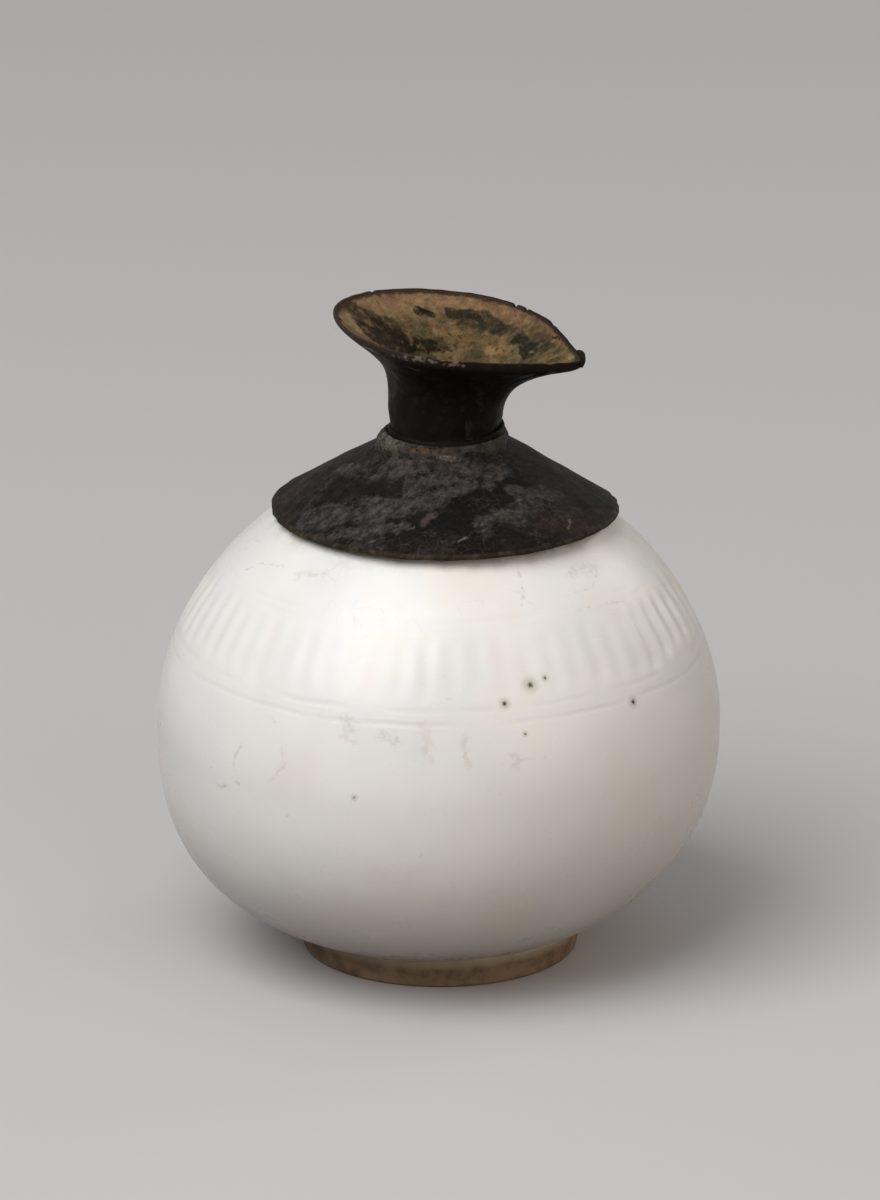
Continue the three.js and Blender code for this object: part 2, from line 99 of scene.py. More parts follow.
def lumps(points: Array, size: float, seed: int) -> Array:
    """Smooth random relief.

    Formula: each corner of a cubic lattice gets a seeded value between -1 and 1, and a point takes
    the mean of the eight corners round it, weighted by soft steps along the three directions.

    Args:
        points: Places, with x, y and z along the last axis.
        size: Edge of a lattice cell, in the points' unit.
        seed: Chooses the random values.

    Returns:
        The heights between -1 and 1, one for each place.
    """
    table = np.random.default_rng(seed).uniform(-1.0, 1.0, 8192)
    cell = np.floor(points / size).astype(np.int64)
    weight = soft_step(0.0, 1.0, points / size - cell)
    total = np.zeros(points.shape[:-1])
    for corner in product((0, 1), repeat=3):
        near = cell + np.array(corner)
        key = (near[..., 0] * 73856093) ^ (near[..., 1] * 19349663) ^ (near[..., 2] * 83492791)
        share = np.where(np.array(corner) == 1, weight, 1.0 - weight).prod(axis=-1)
        total += table[key % table.size] * share
    return total


def relief(points: Array, *layers: Layer) -> Array:
    """Layers of lumps added up, each given by its greatest height, its size and its seed."""
    return sum(height * lumps(points, size, seed) for height, size, seed in layers)


def curve(corners: Sequence[Array], steps: int) -> Array:
    """Points of a Bezier curve.

    Formula: the corners are summed with Bernstein's weights, choose(n, k) t^k (1 - t)^(n - k).

    Args:
        corners: Control points, with their coordinates along the last axis.
        steps: Number of equal steps of t.

    Returns:
        The points, steps + 1 of them along the last axis but one.
    """
    share = np.linspace(0.0, 1.0, steps + 1)[:, None]
    last = len(corners) - 1
    total = 0.0
    for k, corner in enumerate(corners):
        weight = math.comb(last, k) * share**k * (1.0 - share) ** (last - k)
        total = total + np.asarray(corner, float)[..., None, :] * weight
    return total


def sweep(start: Array, leaving: Array, end: Array, entering: Array, steps: int) -> Array:
    """Curve that leaves one point and enters another in given directions.

    Formula: a cubic Bezier curve whose handles are a third as long as the way between the points.

    Args:
        start: First point.
        leaving: Direction in which the curve leaves it, of any length.
        end: Last point.
        entering: Direction in which the curve enters it, of any length.
        steps: Number of equal steps of t.

    Returns:
        The points, steps + 1 of them.
    """
    handle = np.linalg.norm(end - start) / 3.0
    first = start + handle * leaving / np.linalg.norm(leaving)
    last = end - handle * entering / np.linalg.norm(entering)
    return curve([start, first, last, end], steps)


def turned(
    radius: Array | float, angle: Array, height: Array | float, middle: Array | float = 0.0
) -> Array:
    """Places round a vertical axis: x = middle + radius cos(angle), y = radius sin(angle), z = height."""
    x = middle + radius * np.cos(angle)
    return np.stack(np.broadcast_arrays(x, radius * np.sin(angle), height), axis=-1)


def pairs(radius: Array | float, height: Array | float) -> Array:
    """Points of a profile: radius and height, side by side along the last axis."""
    return np.stack(np.broadcast_arrays(radius, height), axis=-1)


def rows(profile: Array) -> tuple[Array, Array]:
    """Radii and heights of a profile, each as a row that goes with a column of angles."""
    return profile[None, :, 0], profile[None, :, 1]


def off_bearing(degrees: Array, bearing: float) -> Array:
    """How far directions are off a bearing, in degrees from -180 to 180."""
    return (degrees - bearing + 180.0) % 360.0 - 180.0


def round_angles(count: int) -> Array:
    """Equal angles of a full turn, as a column."""
    return np.linspace(0.0, FULL_TURN, count, endpoint=False)[:, None]


def surface(name: str, grid: Array, closing: Closing, crease: float) -> bpy.types.Object:
    """Makes a closed mesh of a grid of places.

    Formula: neighbours in the grid share four-sided faces, the last row joins the first, and the
    faces are turned outwards when the volume summed over them is negative.

    Args:
        name: The piece's name.
        grid: Places in millimetres, of shape (around, along, 3).
        closing: Whether the profile is a loop or ends in poles.
        crease: Angle in degrees above which an edge stays sharp.

    Returns:
        The new object, in metres, with smooth faces.
    """
    around, along = grid.shape[:2]
    row = np.arange(around)[:, None]
    after = (row + 1) % around
    fans = np.zeros((0, 3), int)
    if closing is Closing.LOOP:
        places = grid.reshape(-1, 3)
        left = np.arange(along)[None, :]
        right = (left + 1) % along
        width = along
    else:
        places = np.vstack([grid[:, 1:-1].reshape(-1, 3), grid[:, 0].mean(0), grid[:, -1].mean(0)])
        width = along - 2
        left = np.arange(width - 1)[None, :]
        right = left + 1
        first, last = (np.full(around, around * width + pole) for pole in (0, 1))
        near, far = (row * width).ravel(), (after * width).ravel()
        lid = np.stack([last, near + width - 1, far + width - 1], axis=1)
        fans = np.vstack([np.stack([first, far, near], axis=1), lid])
    corners = [row * width + left, after * width + left, after * width + right, row * width + right]
    quads = np.stack([np.broadcast_to(c, (around, left.size)) for c in corners], axis=-1).reshape(-1, 4)
    a, b, c, d = (places[quads[:, k]] for k in range(4))
    volume = np.einsum("ij,ij->", a, np.cross(b, c)) + np.einsum("ij,ij->", a, np.cross(c, d))
    if volume < 0.0:
        quads, fans = quads[:, ::-1], fans[:, ::-1]
    mesh = bpy.data.meshes.new(name)
    mesh.from_pydata((places * MM).tolist(), [], quads.tolist() + fans.tolist())
    mesh.shade_smooth()
    mesh.set_sharp_from_angle(angle=math.radians(crease))
    piece = bpy.data.objects.new(name, mesh)
    bpy.context.scene.collection.objects.link(piece)
    return piece


def paint(red: float, green: float, blue: float) -> Color:
    """A screen's colour as the linear colour that a material takes.

    Formula: a value's share s of 255 becomes ((s + 0.055) / 1.055)^2.4, or s / 12.92 if very dark.

    Args:
        red: Red, 0 to 255.
        green: Green, 0 to 255.
        blue: Blue, 0 to 255.

    Returns:
        The linear colour, opaque.
    """
    shares = [v / 255.0 for v in (red, green, blue)]
    light = [s / 12.92 if s <= 0.04045 else ((s + 0.055) / 1.055) ** 2.4 for s in shares]
    return light[0], light[1], light[2], 1.0


@dataclass(frozen=True)
class Mark:
    """A stroke of colour on a surface: a stain, speck, smear or worn place, or painted shade or a painted
    highlight.

    Attributes:
        start: One end of its middle line, in millimetres.
        end: The other end, or the same point for a round mark.
        width: Distance from that line at which it ends, in millimetres.
        color: Its colour.
        strength: How much of the colour covers the surface, from 0 to 1.
        soft: Share of the width over which its ragged edge is spread.
    """

    start: Point
    end: Point
    width: float
    color: Color
    strength: float = 1.0
    soft: float = 0.5


class Bench:
    """A material's node tree, with a short method for each kind of node that the finishes use."""

    def __init__(self, name: str) -> None:
        """Starts a material whose patterns read Object coordinates.

        Args:
            name: The material's name.
        """
        self.material = bpy.data.materials.new(name)
        self.material.use_nodes = True
        self.tree = self.material.node_tree
        self.shader = self.tree.nodes["Principled BSDF"]
        self.place = self.node("ShaderNodeTexCoord", {}, "Object")

    def feed(self, socket: bpy.types.NodeSocket, value: Value) -> None:
        """Links a socket to another, or sets its value.

        Args:
            socket: The input to feed.
            value: What it gets.
        """
        if isinstance(value, bpy.types.NodeSocket):
            self.tree.links.new(value, socket)
        else:
            socket.default_value = value

    def node(
        self, kind: str, feeds: dict[str | int, Value], output: str | int = 0, **settings: object
    ) -> bpy.types.NodeSocket:
        """Adds a node.

        Args:
            kind: The node's type name.
            feeds: Values or sockets for its inputs, by name or number.
            output: The output to hand back.
            **settings: Options of the node.

        Returns:
            The chosen output.
        """
        made = self.tree.nodes.new(kind)
        for option, value in settings.items():
            setattr(made, option, value)
        for key, value in feeds.items():
            self.feed(made.inputs[key], value)
        return made.outputs[output]

    def sum(self, a: Value, b: Value) -> bpy.types.NodeSocket:
        """Adds two numbers."""
        return self.node("ShaderNodeMath", {0: a, 1: b}, operation="ADD")

    def times(self, a: Value, b: Value) -> bpy.types.NodeSocket:
        """Multiplies two numbers."""
        return self.node("ShaderNodeMath", {0: a, 1: b}, operation="MULTIPLY")

    def most(self, a: Value, b: Value) -> bpy.types.NodeSocket:
        """Takes the larger of two numbers."""
        return self.node("ShaderNodeMath", {0: a, 1: b}, operation="MAXIMUM")

    def axis(self, which: str) -> bpy.types.NodeSocket:
        """The place along X, Y or Z, in metres."""
        return self.node("ShaderNodeSeparateXYZ", {0: self.place}, which)

    def vector(
        self, operation: str, first: Value, second: Value = (0.0, 0.0, 0.0), output: str = "Vector"
    ) -> bpy.types.NodeSocket:
        """Works on two vectors."""
        return self.node("ShaderNodeVectorMath", {0: first, 1: second}, output, operation=operation)

    def over(self, slope: Point) -> bpy.types.NodeSocket:
        """Level of a tilted plane through the place: x, y and z times the slope's values, added up."""
        return self.vector("DOT_PRODUCT", self.place, slope, "Value")

    def between(
        self, value: Value, low: float, high: float, to_low: float = 0.0, to_high: float = 1.0
    ) -> bpy.types.NodeSocket:
        """Carries a number softly from one range to another."""
        feeds = {"Value": value, "From Min": low, "From Max": high, "To Min": to_low, "To Max": to_high}
        return self.node("ShaderNodeMapRange", feeds, interpolation_type="SMOOTHSTEP")

    def across(
        self, level: Value, span: tuple[float, float], least: float = 0.0, most: float = 1.0
    ) -> bpy.types.NodeSocket:
        """Carries a level in metres softly from least to most, across a span in millimetres."""
        return self.between(level, span[0] * MM, span[1] * MM, least, most)

    def mix(self, share: Value, first: Value, second: Value) -> bpy.types.NodeSocket:
        """Mixes two colours."""
        return self.node("ShaderNodeMix", {0: share, 6: first, 7: second}, 2, data_type="RGBA")

    def stretched(self, vector: Value, factor: Value) -> bpy.types.NodeSocket:
        """Multiplies a vector or a colour by a factor."""
        return self.node("ShaderNodeVectorMath", {0: vector, "Scale": factor}, operation="SCALE")

    def scaled(self, scale: Point, shift: Value, place: Value | None = None) -> bpy.types.NodeSocket:
        """Stretches and moves the place that a pattern reads."""
        feeds = {0: self.place if place is None else place, 1: scale, 2: shift}
        return self.node("ShaderNodeVectorMath", feeds, operation="MULTIPLY_ADD")

    def grain(
        self,
        size: float,
        seed: float,
        detail: float = 3.0,
        rough: float = 0.55,
        stretch: Point = (1.0, 1.0, 1.0),
        turn: float = 0.0,
    ) -> bpy.types.NodeSocket:
        """Fractal noise.

        Args:
            size: Size of its largest features, in millimetres.
            seed: Moves the pattern.
            detail: Number of finer layers.
            rough: Strength of the finer layers.
            stretch: How much longer the features are along each axis.
            turn: Degrees by which the stretched axes are turned about Z.

        Returns:
            The noise, around 0.5.
        """
        place = self.place
        if turn:
            feeds = {"Vector": place, "Angle": -math.radians(turn)}
            place = self.node("ShaderNodeVectorRotate", feeds, rotation_type="Z_AXIS")
        step = 1.0 / (MM * size)
        place = self.scaled(tuple(step / s for s in stretch), (seed, seed * 1.7, seed * 0.6), place)
        feeds = {"Vector": place, "Scale": 1.0, "Detail": detail, "Roughness": rough}
        return self.node("ShaderNodeTexNoise", feeds)

    def blots(
        self, grain: tuple[float | Point, ...], low: float, high: float, least: float = 0.0, most: float = 1.0
    ) -> bpy.types.NodeSocket:
        """Patches of the noise that grain() makes: least where it is below low, most where above high."""
        return self.between(self.grain(*grain), low, high, least, most)

    def cracks(self, size: float, seed: float, width: float) -> bpy.types.NodeSocket:
        """Fine lines between cells: 1 on a line, 0 off it.

        Args:
            size: Size of a cell, in millimetres.
            seed: Moves the pattern.
            width: Width of a line as a share of a cell.

        Returns:
            The lines.
        """
        step = 1.0 / (MM * size)
        drift = self.node("ShaderNodeTexNoise", {"Vector": self.place, "Scale": step * 0.8}, "Color")
        place = self.scaled((step,) * 3, self.scaled((0.9,) * 3, (seed,) * 3, drift))
        edge = self.node("ShaderNodeTexVoronoi", {"Vector": place, "Scale": 1.0}, feature="DISTANCE_TO_EDGE")
        return self.between(edge, 0.0, width, 1.0, 0.0)

    def ragged(self, amount: float, size: float, seed: float) -> bpy.types.NodeSocket:
        """The place moved about by noise, so that what is placed by it gets a ragged outline.

        Args:
            amount: How far it moves, in millimetres.
            size: Size of the noise's largest features, in millimetres.
            seed: Moves the pattern.

        Returns:
            The moved place.
        """
        place = self.scaled((1.0 / (MM * size),) * 3, (seed,) * 3)
        drift = self.node("ShaderNodeTexNoise", {"Vector": place, "Scale": 1.0, "Detail": 4.0}, "Color")
        reach = 2.0 * amount * MM
        moved = self.scaled((reach,) * 3, (-reach / 2.0,) * 3, drift)
        return self.vector("ADD", self.place, moved)

    def marked(
        self, color: Value, marks: Sequence[Mark], ragged: float, grit: Value, crisp: float = 0.0
    ) -> bpy.types.NodeSocket:
        """Lays marks over a colour, one after another.

        Formula: a mark's cover runs from 1 along its middle line to 0 at its width, less a half and
        plus noise from 0 to 1, so that noise breaks it up inside its outline and never leaves it.

        Args:
            color: The colour below.
            marks: The marks, in order.
            ragged: How far noise moves their outlines, in millimetres.
            grit: Noise that breaks them up.
            crisp: From 0, soft, to 1, sharply cut.

        Returns:
            The colour with its marks.
        """
        place = self.ragged(ragged, 2.2 * ragged, 5.0)
        span = 1.0 - 0.75 * crisp
        noise = self.sum(grit, -0.5)
        for mark in marks:
            start = Vector(mark.start) * MM
            along = Vector(mark.end) * MM - start
            inverse = along / max(along.length_squared, 1e-12)
            off = self.vector("SUBTRACT", place, start)
            share = self.node("ShaderNodeClamp", {0: self.vector("DOT_PRODUCT", off, inverse, "Value")})
            gap = self.vector("SUBTRACT", off, self.stretched(along, share))
            gap = self.vector("LENGTH", gap, output="Value")
            width = mark.width * MM
            feeds = {0: gap, 1: width * (1.0 - mark.soft), 2: width, 3: 1.0, 4: 0.0}
            cover = self.node("ShaderNodeMapRange", feeds)
            cover = self.between(self.sum(cover, noise), 0.5, 0.5 + span, 0.0, mark.strength)
            color = self.mix(cover, color, mark.color)
        return color

    def wavy(self, level: Value, amount: float, *grain: float) -> bpy.types.NodeSocket:
        """A level in metres that noise moves up and down, by amount millimetres in all."""
        return self.sum(level, self.times(self.sum(self.grain(*grain), -0.5), amount * MM))

    def finish(self, color: Value, rough: Value, shine: float, height: Value) -> bpy.types.Material:
        """Feeds the shader.

        Args:
            color: The surface's colour.
            rough: Its roughness.
            shine: Strength of its mirror-like reflection, 0.5 for a plain glossy surface.
            height: Relief of its shading, in millimetres.

        Returns:
            The material.
        """
        bump = self.node("ShaderNodeBump", {"Height": height, "Distance": MM, "Strength": 1.0})
        feeds = {"Base Color": color, "Roughness": rough, "Specular IOR Level": shine, "Normal": bump}
        for name, value in feeds.items():
            self.feed(self.shader.inputs[name], value)
        return self.material


@dataclass(frozen=True)
class GlazedPorcelain:
    """Thick, soft white glaze over a tan foot, with specks, stains, crackle and filled incised rings."""

    glaze: Color = paint(239, 237, 233)
    cool: Color = paint(231, 231, 229)
    warm: Color = paint(238, 231, 223)
    line: Color = paint(172, 168, 158)
    clay: Color = paint(154, 128, 102)
    dark_clay: Color = paint(116, 92, 72)
    rust: Color = paint(160, 120, 84)
    cream: Color = paint(182, 166, 140)
    # thin is the thin glaze's grey-brown near the foot, also laid on as painted shade where the belly meets
    # the foot.
    thin: Color = paint(190, 178, 158)
    soil: Color = paint(168, 158, 138)
    marks: tuple[Mark, ...] = ()
    crazing: tuple[Mark, ...] = ()
    specks: tuple[Mark, ...] = ()
    foot_top: float = 7.0
    crackled: tuple[float, float] = (90.0, 98.0)
    thinned_and_shaded: tuple[float, float] = (10.2, 7.2)
    soiled: tuple[float, float] = (101.5, 106.5)
    rings: tuple[tuple[float, float, float], ...] = (
        (77.0, 1.1, 0.8),
        (74.0, 1.0, 1.0),
        (94.2, 0.8, 0.5),
        (92.6, 0.8, 0.4),
    )

    def grooves(self, bench: Bench) -> bpy.types.NodeSocket:
        """Incised rings that waver in height and fade in and out.

        Args:
            bench: The glaze's node tree.

        Returns:
            The grooves: 1 in a deep one, 0 off them.
        """
        found = None
        for ring, width, depth in self.rings:
            above = bench.sum(bench.wavy(bench.axis("Z"), 1.6, 18.0, ring, 2.0), -ring * MM)
            off = bench.node("ShaderNodeMath", {0: above}, operation="ABSOLUTE")
            groove = bench.across(off, (0.0, width), depth, 0.0)
            groove = bench.times(groove, bench.blots((12.0, ring + 5.0, 3.0), 0.36, 0.58))
            found = groove if found is None else bench.most(found, groove)
        return found

    def material(self) -> bpy.types.Material:
        """Builds the finish.

        Returns:
            The material.
        """
        bench = Bench("white_glaze")
        height = bench.axis("Z")
        color = bench.mix(bench.blots((38.0, 3.0), 0.38, 0.66), self.glaze, self.cool)
        color = bench.mix(bench.blots((24.0, 9.0), 0.46, 0.72, 0.0, 0.8), color, self.warm)
        crackle = bench.times(bench.cracks(7.0, 4.0, 0.03), bench.blots((16.0, 21.0), 0.52, 0.62))
        high = bench.across(height, self.crackled)
        color = bench.mix(bench.times(bench.times(crackle, high), 0.2), color, self.line)
        grooves = self.grooves(bench)
        color = bench.mix(bench.times(grooves, 0.06), color, self.line)
        grit = bench.blots((1.4, 44.0, 5.0, 0.7), 0.26, 0.62)
        color = bench.marked(color, self.crazing, 0.9, grit)
        color = bench.marked(color, self.marks, 1.3, grit)
        color = bench.marked(color, self.specks, 0.3, 1.0)
        edge = bench.wavy(height, 1.6, 9.0, 40.0, 2.0)
        # Painted shade: darker towards the foot in the thin colour, partly the thin glaze's tint and partly
        # shade painted where the belly meets the foot.
        color = bench.mix(bench.across(edge, self.thinned_and_shaded, 0.0, 0.55), color, self.thin)
        under_cone = bench.across(height, self.soiled, 0.0, 0.6)
        soiled = bench.times(under_cone, bench.blots((5.0, 61.0, 5.0), 0.42, 0.62))
        color = bench.mix(soiled, color, self.soil)
        glazed = bench.across(edge, (self.foot_top - 0.9, self.foot_top + 0.3))
        clay = bench.mix(bench.blots((5.0, 12.0, 5.0, 0.6), 0.34, 0.62), self.dark_clay, self.clay)
        clay = bench.mix(bench.blots((12.0, 33.0, 2.0), 0.5, 0.7, 0.0, 0.6), clay, self.rust)
        pale = bench.across(edge, (self.foot_top - 3.0, self.foot_top - 0.8), 0.0, 0.85)
        clay = bench.mix(pale, clay, self.cream)
        rough = bench.blots((9.0, 17.0, 4.0), 0.3, 0.7, 0.26, 0.38)
        rough = bench.node("ShaderNodeMix", {0: glazed, 2: 0.85, 3: rough})
        orange_peel = bench.times(bench.grain(2.6, 30.0, 2.0), 0.02)
        waves = bench.times(bench.grain(13.0, 31.0, 2.0, 0.4), 0.14)
        smooth = bench.sum(bench.sum(orange_peel, waves), bench.times(grooves, -0.055))
        grit = bench.times(bench.grain(1.1, 50.0, 4.0, 0.7), 0.22)
        bumps = bench.node("ShaderNodeMix", {0: glazed, 2: grit, 3: smooth})
        bench.shader.inputs["IOR"].default_value = 1.5
        return bench.finish(bench.mix(glazed, clay, color), rough, 0.5, bumps)


@dataclass(frozen=True)
class TarnishedSheet:
    """Blackish brown tarnish with slanting grey scuffs, worn places and whitish flecks."""

    name: str = "tarnished_cone"
    dark: Color = paint(18, 14, 11)
    brown: Color = paint(40, 32, 27)
    grey: Color = paint(77, 71, 67)
    fleck: Color = paint(128, 120, 114)
    edge: Color = paint(52, 42, 33)
    # Greenish patches on the cone's lower edge are painted glints of light. On the bowl the same name is a
    # green stain.
    green_stain_and_glint: Color = paint(92, 84, 60)
    marks: tuple[Mark, ...] = ()
    rim_height: float = 107.4

    def material(self) -> bpy.types.Material:
        """Builds the finish.

        Returns:
            The material.
        """
        bench = Bench(self.name)
        color = bench.mix(bench.blots((13.0, 1.0, 6.0, 0.62), 0.4, 0.62), self.dark, self.brown)
        scuff = bench.grain(3.6, 14.0, 7.0, 0.68, (3.2, 1.0, 1.0), 38.0)
        haze = bench.grain(17.0, 8.0, 4.0, 0.6, (1.8, 1.0, 1.0), 38.0)
        worn = bench.times(bench.between(scuff, 0.46, 0.6), bench.between(haze, 0.42, 0.58, 0.1, 1.0))
        color = bench.mix(bench.times(worn, 0.5), color, self.grey)
        streaks = bench.blots((2.2, 44.0, 9.0, 0.78, (1.7, 1.0, 1.0), 38.0), 0.3, 0.62)
        color = bench.marked(color, self.marks, 3.2, streaks)
        cracked = bench.times(bench.cracks(1.9, 1.2, 0.07), bench.blots((9.0, 68.0, 5.0), 0.46, 0.6))
        color = bench.mix(bench.times(cracked, 0.55), color, self.grey)
        mottled = bench.blots((2.6, 60.0, 8.0, 0.8, (1.6, 1.0, 1.0), 38.0), 0.48, 0.62, 0.0, 0.7)
        color = bench.mix(mottled, color, self.dark)
        scratch = bench.grain(1.1, 66.0, 4.0, 0.7, (5.0, 1.0, 1.0), 34.0)
        scratch = bench.times(bench.between(scratch, 0.6, 0.7), bench.blots((9.0, 67.0), 0.44, 0.6))
        color = bench.mix(bench.times(scratch, 0.45), color, self.grey)
        flecks = bench.blots((1.2, 70.0, 3.0, 0.7), 0.68, 0.74)
        flecks = bench.times(flecks, bench.blots((12.0, 73.0), 0.46, 0.58))
        color = bench.mix(bench.times(flecks, 0.65), color, self.fleck)
        # Painted highlight: the lower edge band is edge brown with greenish patches that stand for thin
        # glints of light along the edge.
        rim = bench.across(bench.axis("Z"), (self.rim_height - 0.55, self.rim_height - 0.1), 0.9, 0.0)
        green_stain_and_glint = bench.times(bench.blots((3.0, 80.0, 4.0), 0.5, 0.66), 0.5)
        color = bench.mix(rim, color, bench.mix(green_stain_and_glint, self.edge, self.green_stain_and_glint))
        tone = bench.blots((1.5, 64.0, 8.0, 0.8), 0.32, 0.68, 0.3, 1.2)
        pits = bench.times(bench.grain(1.0, 90.0, 6.0, 0.75), 0.22)
        dents = bench.times(bench.grain(8.0, 91.0, 2.0), 0.5)
        bumps = bench.sum(bench.sum(pits, dents), bench.times(scuff, 0.2))
        rough = bench.between(scuff, 0.3, 0.7, 0.42, 0.62)
        return bench.finish(bench.stretched(color, tone), rough, 0.1, bumps)


@dataclass(frozen=True)
class BlackNeck:
    """Near-black satin sheet with grey smears, as the neck and the bowl's outside have."""

    name: str = "black_neck"
    dark: Color = paint(18, 14, 11)
    brown: Color = paint(26, 21, 18)
    smear: Color = paint(44, 42, 36)
    edge: Color = paint(60, 50, 42)
    marks: tuple[Mark, ...] = ()
    worn_and_lit_side: tuple[float, float] = (4.0, -14.0)

    def material(self) -> bpy.types.Material:
        """Builds the finish.

        Returns:
            The material.
        """
        bench = Bench(self.name)
        color = bench.mix(bench.blots((8.0, 2.0, 4.0), 0.42, 0.64), self.dark, self.brown)
        smeared = bench.times(bench.blots((2.8, 5.0, 5.0, 0.65), 0.54, 0.68), 0.5)
        color = bench.mix(smeared, color, self.smear)
        # Painted highlight: a lighter brown band on the lip's outside just below the rim, stronger on the
        # left towards the key lamp; partly brown wear, partly light caught by the lip.
        tilt = bench.wavy(bench.over(RIM_SLOPE), 3.0, 3.5, 30.0, 5.0, 0.65)
        rim = bench.across(tilt, (RIM_LEVEL - 2.6, RIM_LEVEL - 1.2), 0.0, 0.85)
        left = bench.across(bench.axis("X"), self.worn_and_lit_side, 0.2, 1.0)
        color = bench.mix(bench.times(rim, left), color, self.edge)
        grit = bench.blots((1.2, 44.0, 6.0, 0.7), 0.36, 0.64)
        color = bench.marked(color, self.marks, 1.0, grit, 0.35)
        rough = bench.blots((4.0, 7.0, 4.0), 0.3, 0.7, 0.42, 0.6)
        fine, broad = bench.times(bench.grain(1.2, 9.0, 4.0), 0.1), bench.times(bench.grain(7.0, 10.0), 0.3)
        return bench.finish(color, rough, 0.06, bench.sum(fine, broad))


@dataclass(frozen=True)
class BowlDeposit:
    """Buff crust inside the bowl, pinkish above and stained grey-green below, with brown painted shade down
    the inside of the left wall.
    """

    buff: Color = paint(128, 103, 70)
    pale: Color = paint(150, 122, 90)
    olive: Color = paint(92, 82, 54)
    slate: Color = paint(50, 44, 33)
    edge: Color = paint(50, 38, 30)
    marks: tuple[Mark, ...] = ()
    stained: tuple[float, float] = (147.5, 143.5)

    def material(self) -> bpy.types.Material:
        """Builds the finish.

        Returns:
            The material.
        """
        bench = Bench("bowl_deposit")
        color = bench.mix(bench.blots((6.0, 3.0, 6.0, 0.62), 0.38, 0.64), self.buff, self.pale)
        low = bench.across(bench.axis("Z"), self.stained)
        stained = bench.times(bench.blots((5.0, 11.0, 6.0, 0.65), 0.4, 0.58, 0.2, 0.9), low)
        color = bench.mix(stained, color, self.olive)
        grit = bench.blots((2.6, 44.0, 9.0, 0.8), 0.26, 0.6)
        color = bench.marked(color, self.marks, 2.4, grit)
        blots = bench.times(bench.blots((1.8, 20.0, 6.0, 0.75), 0.54, 0.64, 0.0, 0.75), low)
        color = bench.mix(blots, color, self.slate)
        specks = bench.blots((1.0, 27.0, 3.0, 0.7), 0.64, 0.72, 0.0, 0.5)
        color = bench.mix(specks, color, self.olive)
        tone = bench.blots((3.0, 64.0, 8.0, 0.8), 0.32, 0.68, 0.38, 1.02)
        tilt = bench.wavy(bench.over(RIM_SLOPE), 1.6, 2.2, 31.0, 5.0, 0.65)
        brink = bench.across(tilt, (RIM_LEVEL - 1.0, RIM_LEVEL - 0.5), 0.0, 0.85)
        color = bench.mix(brink, bench.stretched(color, tone), self.edge)
        crust = bench.times(bench.grain(1.0, 25.0, 5.0, 0.7), 0.3)
        return bench.finish(color, 0.82, 0.15, bench.sum(crust, bench.times(bench.grain(5.0, 26.0), 0.5)))


@dataclass(frozen=True)
class SolderCrust:
    """Dull grey solder with rusty and golden pits."""

    name: str = "solder_crust"
    grey: Color = paint(62, 57, 51)
    pale: Color = paint(84, 78, 70)
    pit: Color = paint(30, 25, 19)
    gold: Color = paint(84, 66, 40)
    marks: tuple[Mark, ...] = ()

    def material(self) -> bpy.types.Material:
        """Builds the finish.

        Returns:
            The material.
        """
        bench = Bench(self.name)
        color = bench.mix(bench.blots((4.0, 4.0, 5.0), 0.4, 0.62), self.grey, self.pale)
        color = bench.mix(bench.blots((1.8, 6.0, 5.0, 0.7), 0.52, 0.64, 0.0, 0.85), color, self.pit)
        color = bench.mix(bench.blots((2.6, 16.0, 4.0), 0.58, 0.68, 0.0, 0.5), color, self.gold)
        grit = bench.blots((1.2, 44.0, 6.0, 0.7), 0.36, 0.64)
        color = bench.marked(color, self.marks, 0.8, grit, 0.3)
        tone = bench.blots((1.4, 30.0, 8.0, 0.8), 0.34, 0.66, 0.25, 1.2)
        crust = bench.times(bench.grain(1.0, 18.0, 5.0, 0.7), 0.6)
        return bench.finish(bench.stretched(color, tone), 0.6, 0.2, crust)


@dataclass(frozen=True)
class HempFibre:
    """Wound hemp: straw-coloured strands with darker gaps."""

    straw: Color = paint(150, 128, 92)
    shade: Color = paint(92, 74, 50)

    def material(self) -> bpy.types.Material:
        """Builds the finish.

        Returns:
            The material.
        """
        bench = Bench("hemp_fibre")
        fibre = bench.grain(1.2, 5.0, 5.0, 0.7, (1.0, 1.0, 0.25))
        color = bench.mix(bench.between(fibre, 0.35, 0.65), self.shade, self.straw)
        return bench.finish(color, 0.95, 0.5, bench.times(fibre, 0.4))


@dataclass(frozen=True)
class MouthAxis:
    """What the metal pieces share: the mouthpiece's axis and the cone's slope."""

    middle: float = 1.5
    seat: float = 110.9
    bearing_radius: float = 31.0
    slope: float = math.radians(30.7)
    sheet: float = 0.9
    hole: float = 12.9
    neck_radius: float = 12.6

    def under(self, radius: Array | float) -> Array | float:
        """Height of the cone's underside at a radius."""
        return self.seat + (self.bearing_radius - radius) * math.tan(self.slope)

    def upper(self, radius: Array | float) -> Array | float:
        """Height of the cone's upper face at a radius."""
        return self.under(radius) + self.sheet / math.cos(self.slope)

    @property
    def top(self) -> float:
        """Height of the cone's upper edge round the neck."""
        return float(self.upper(self.hole))


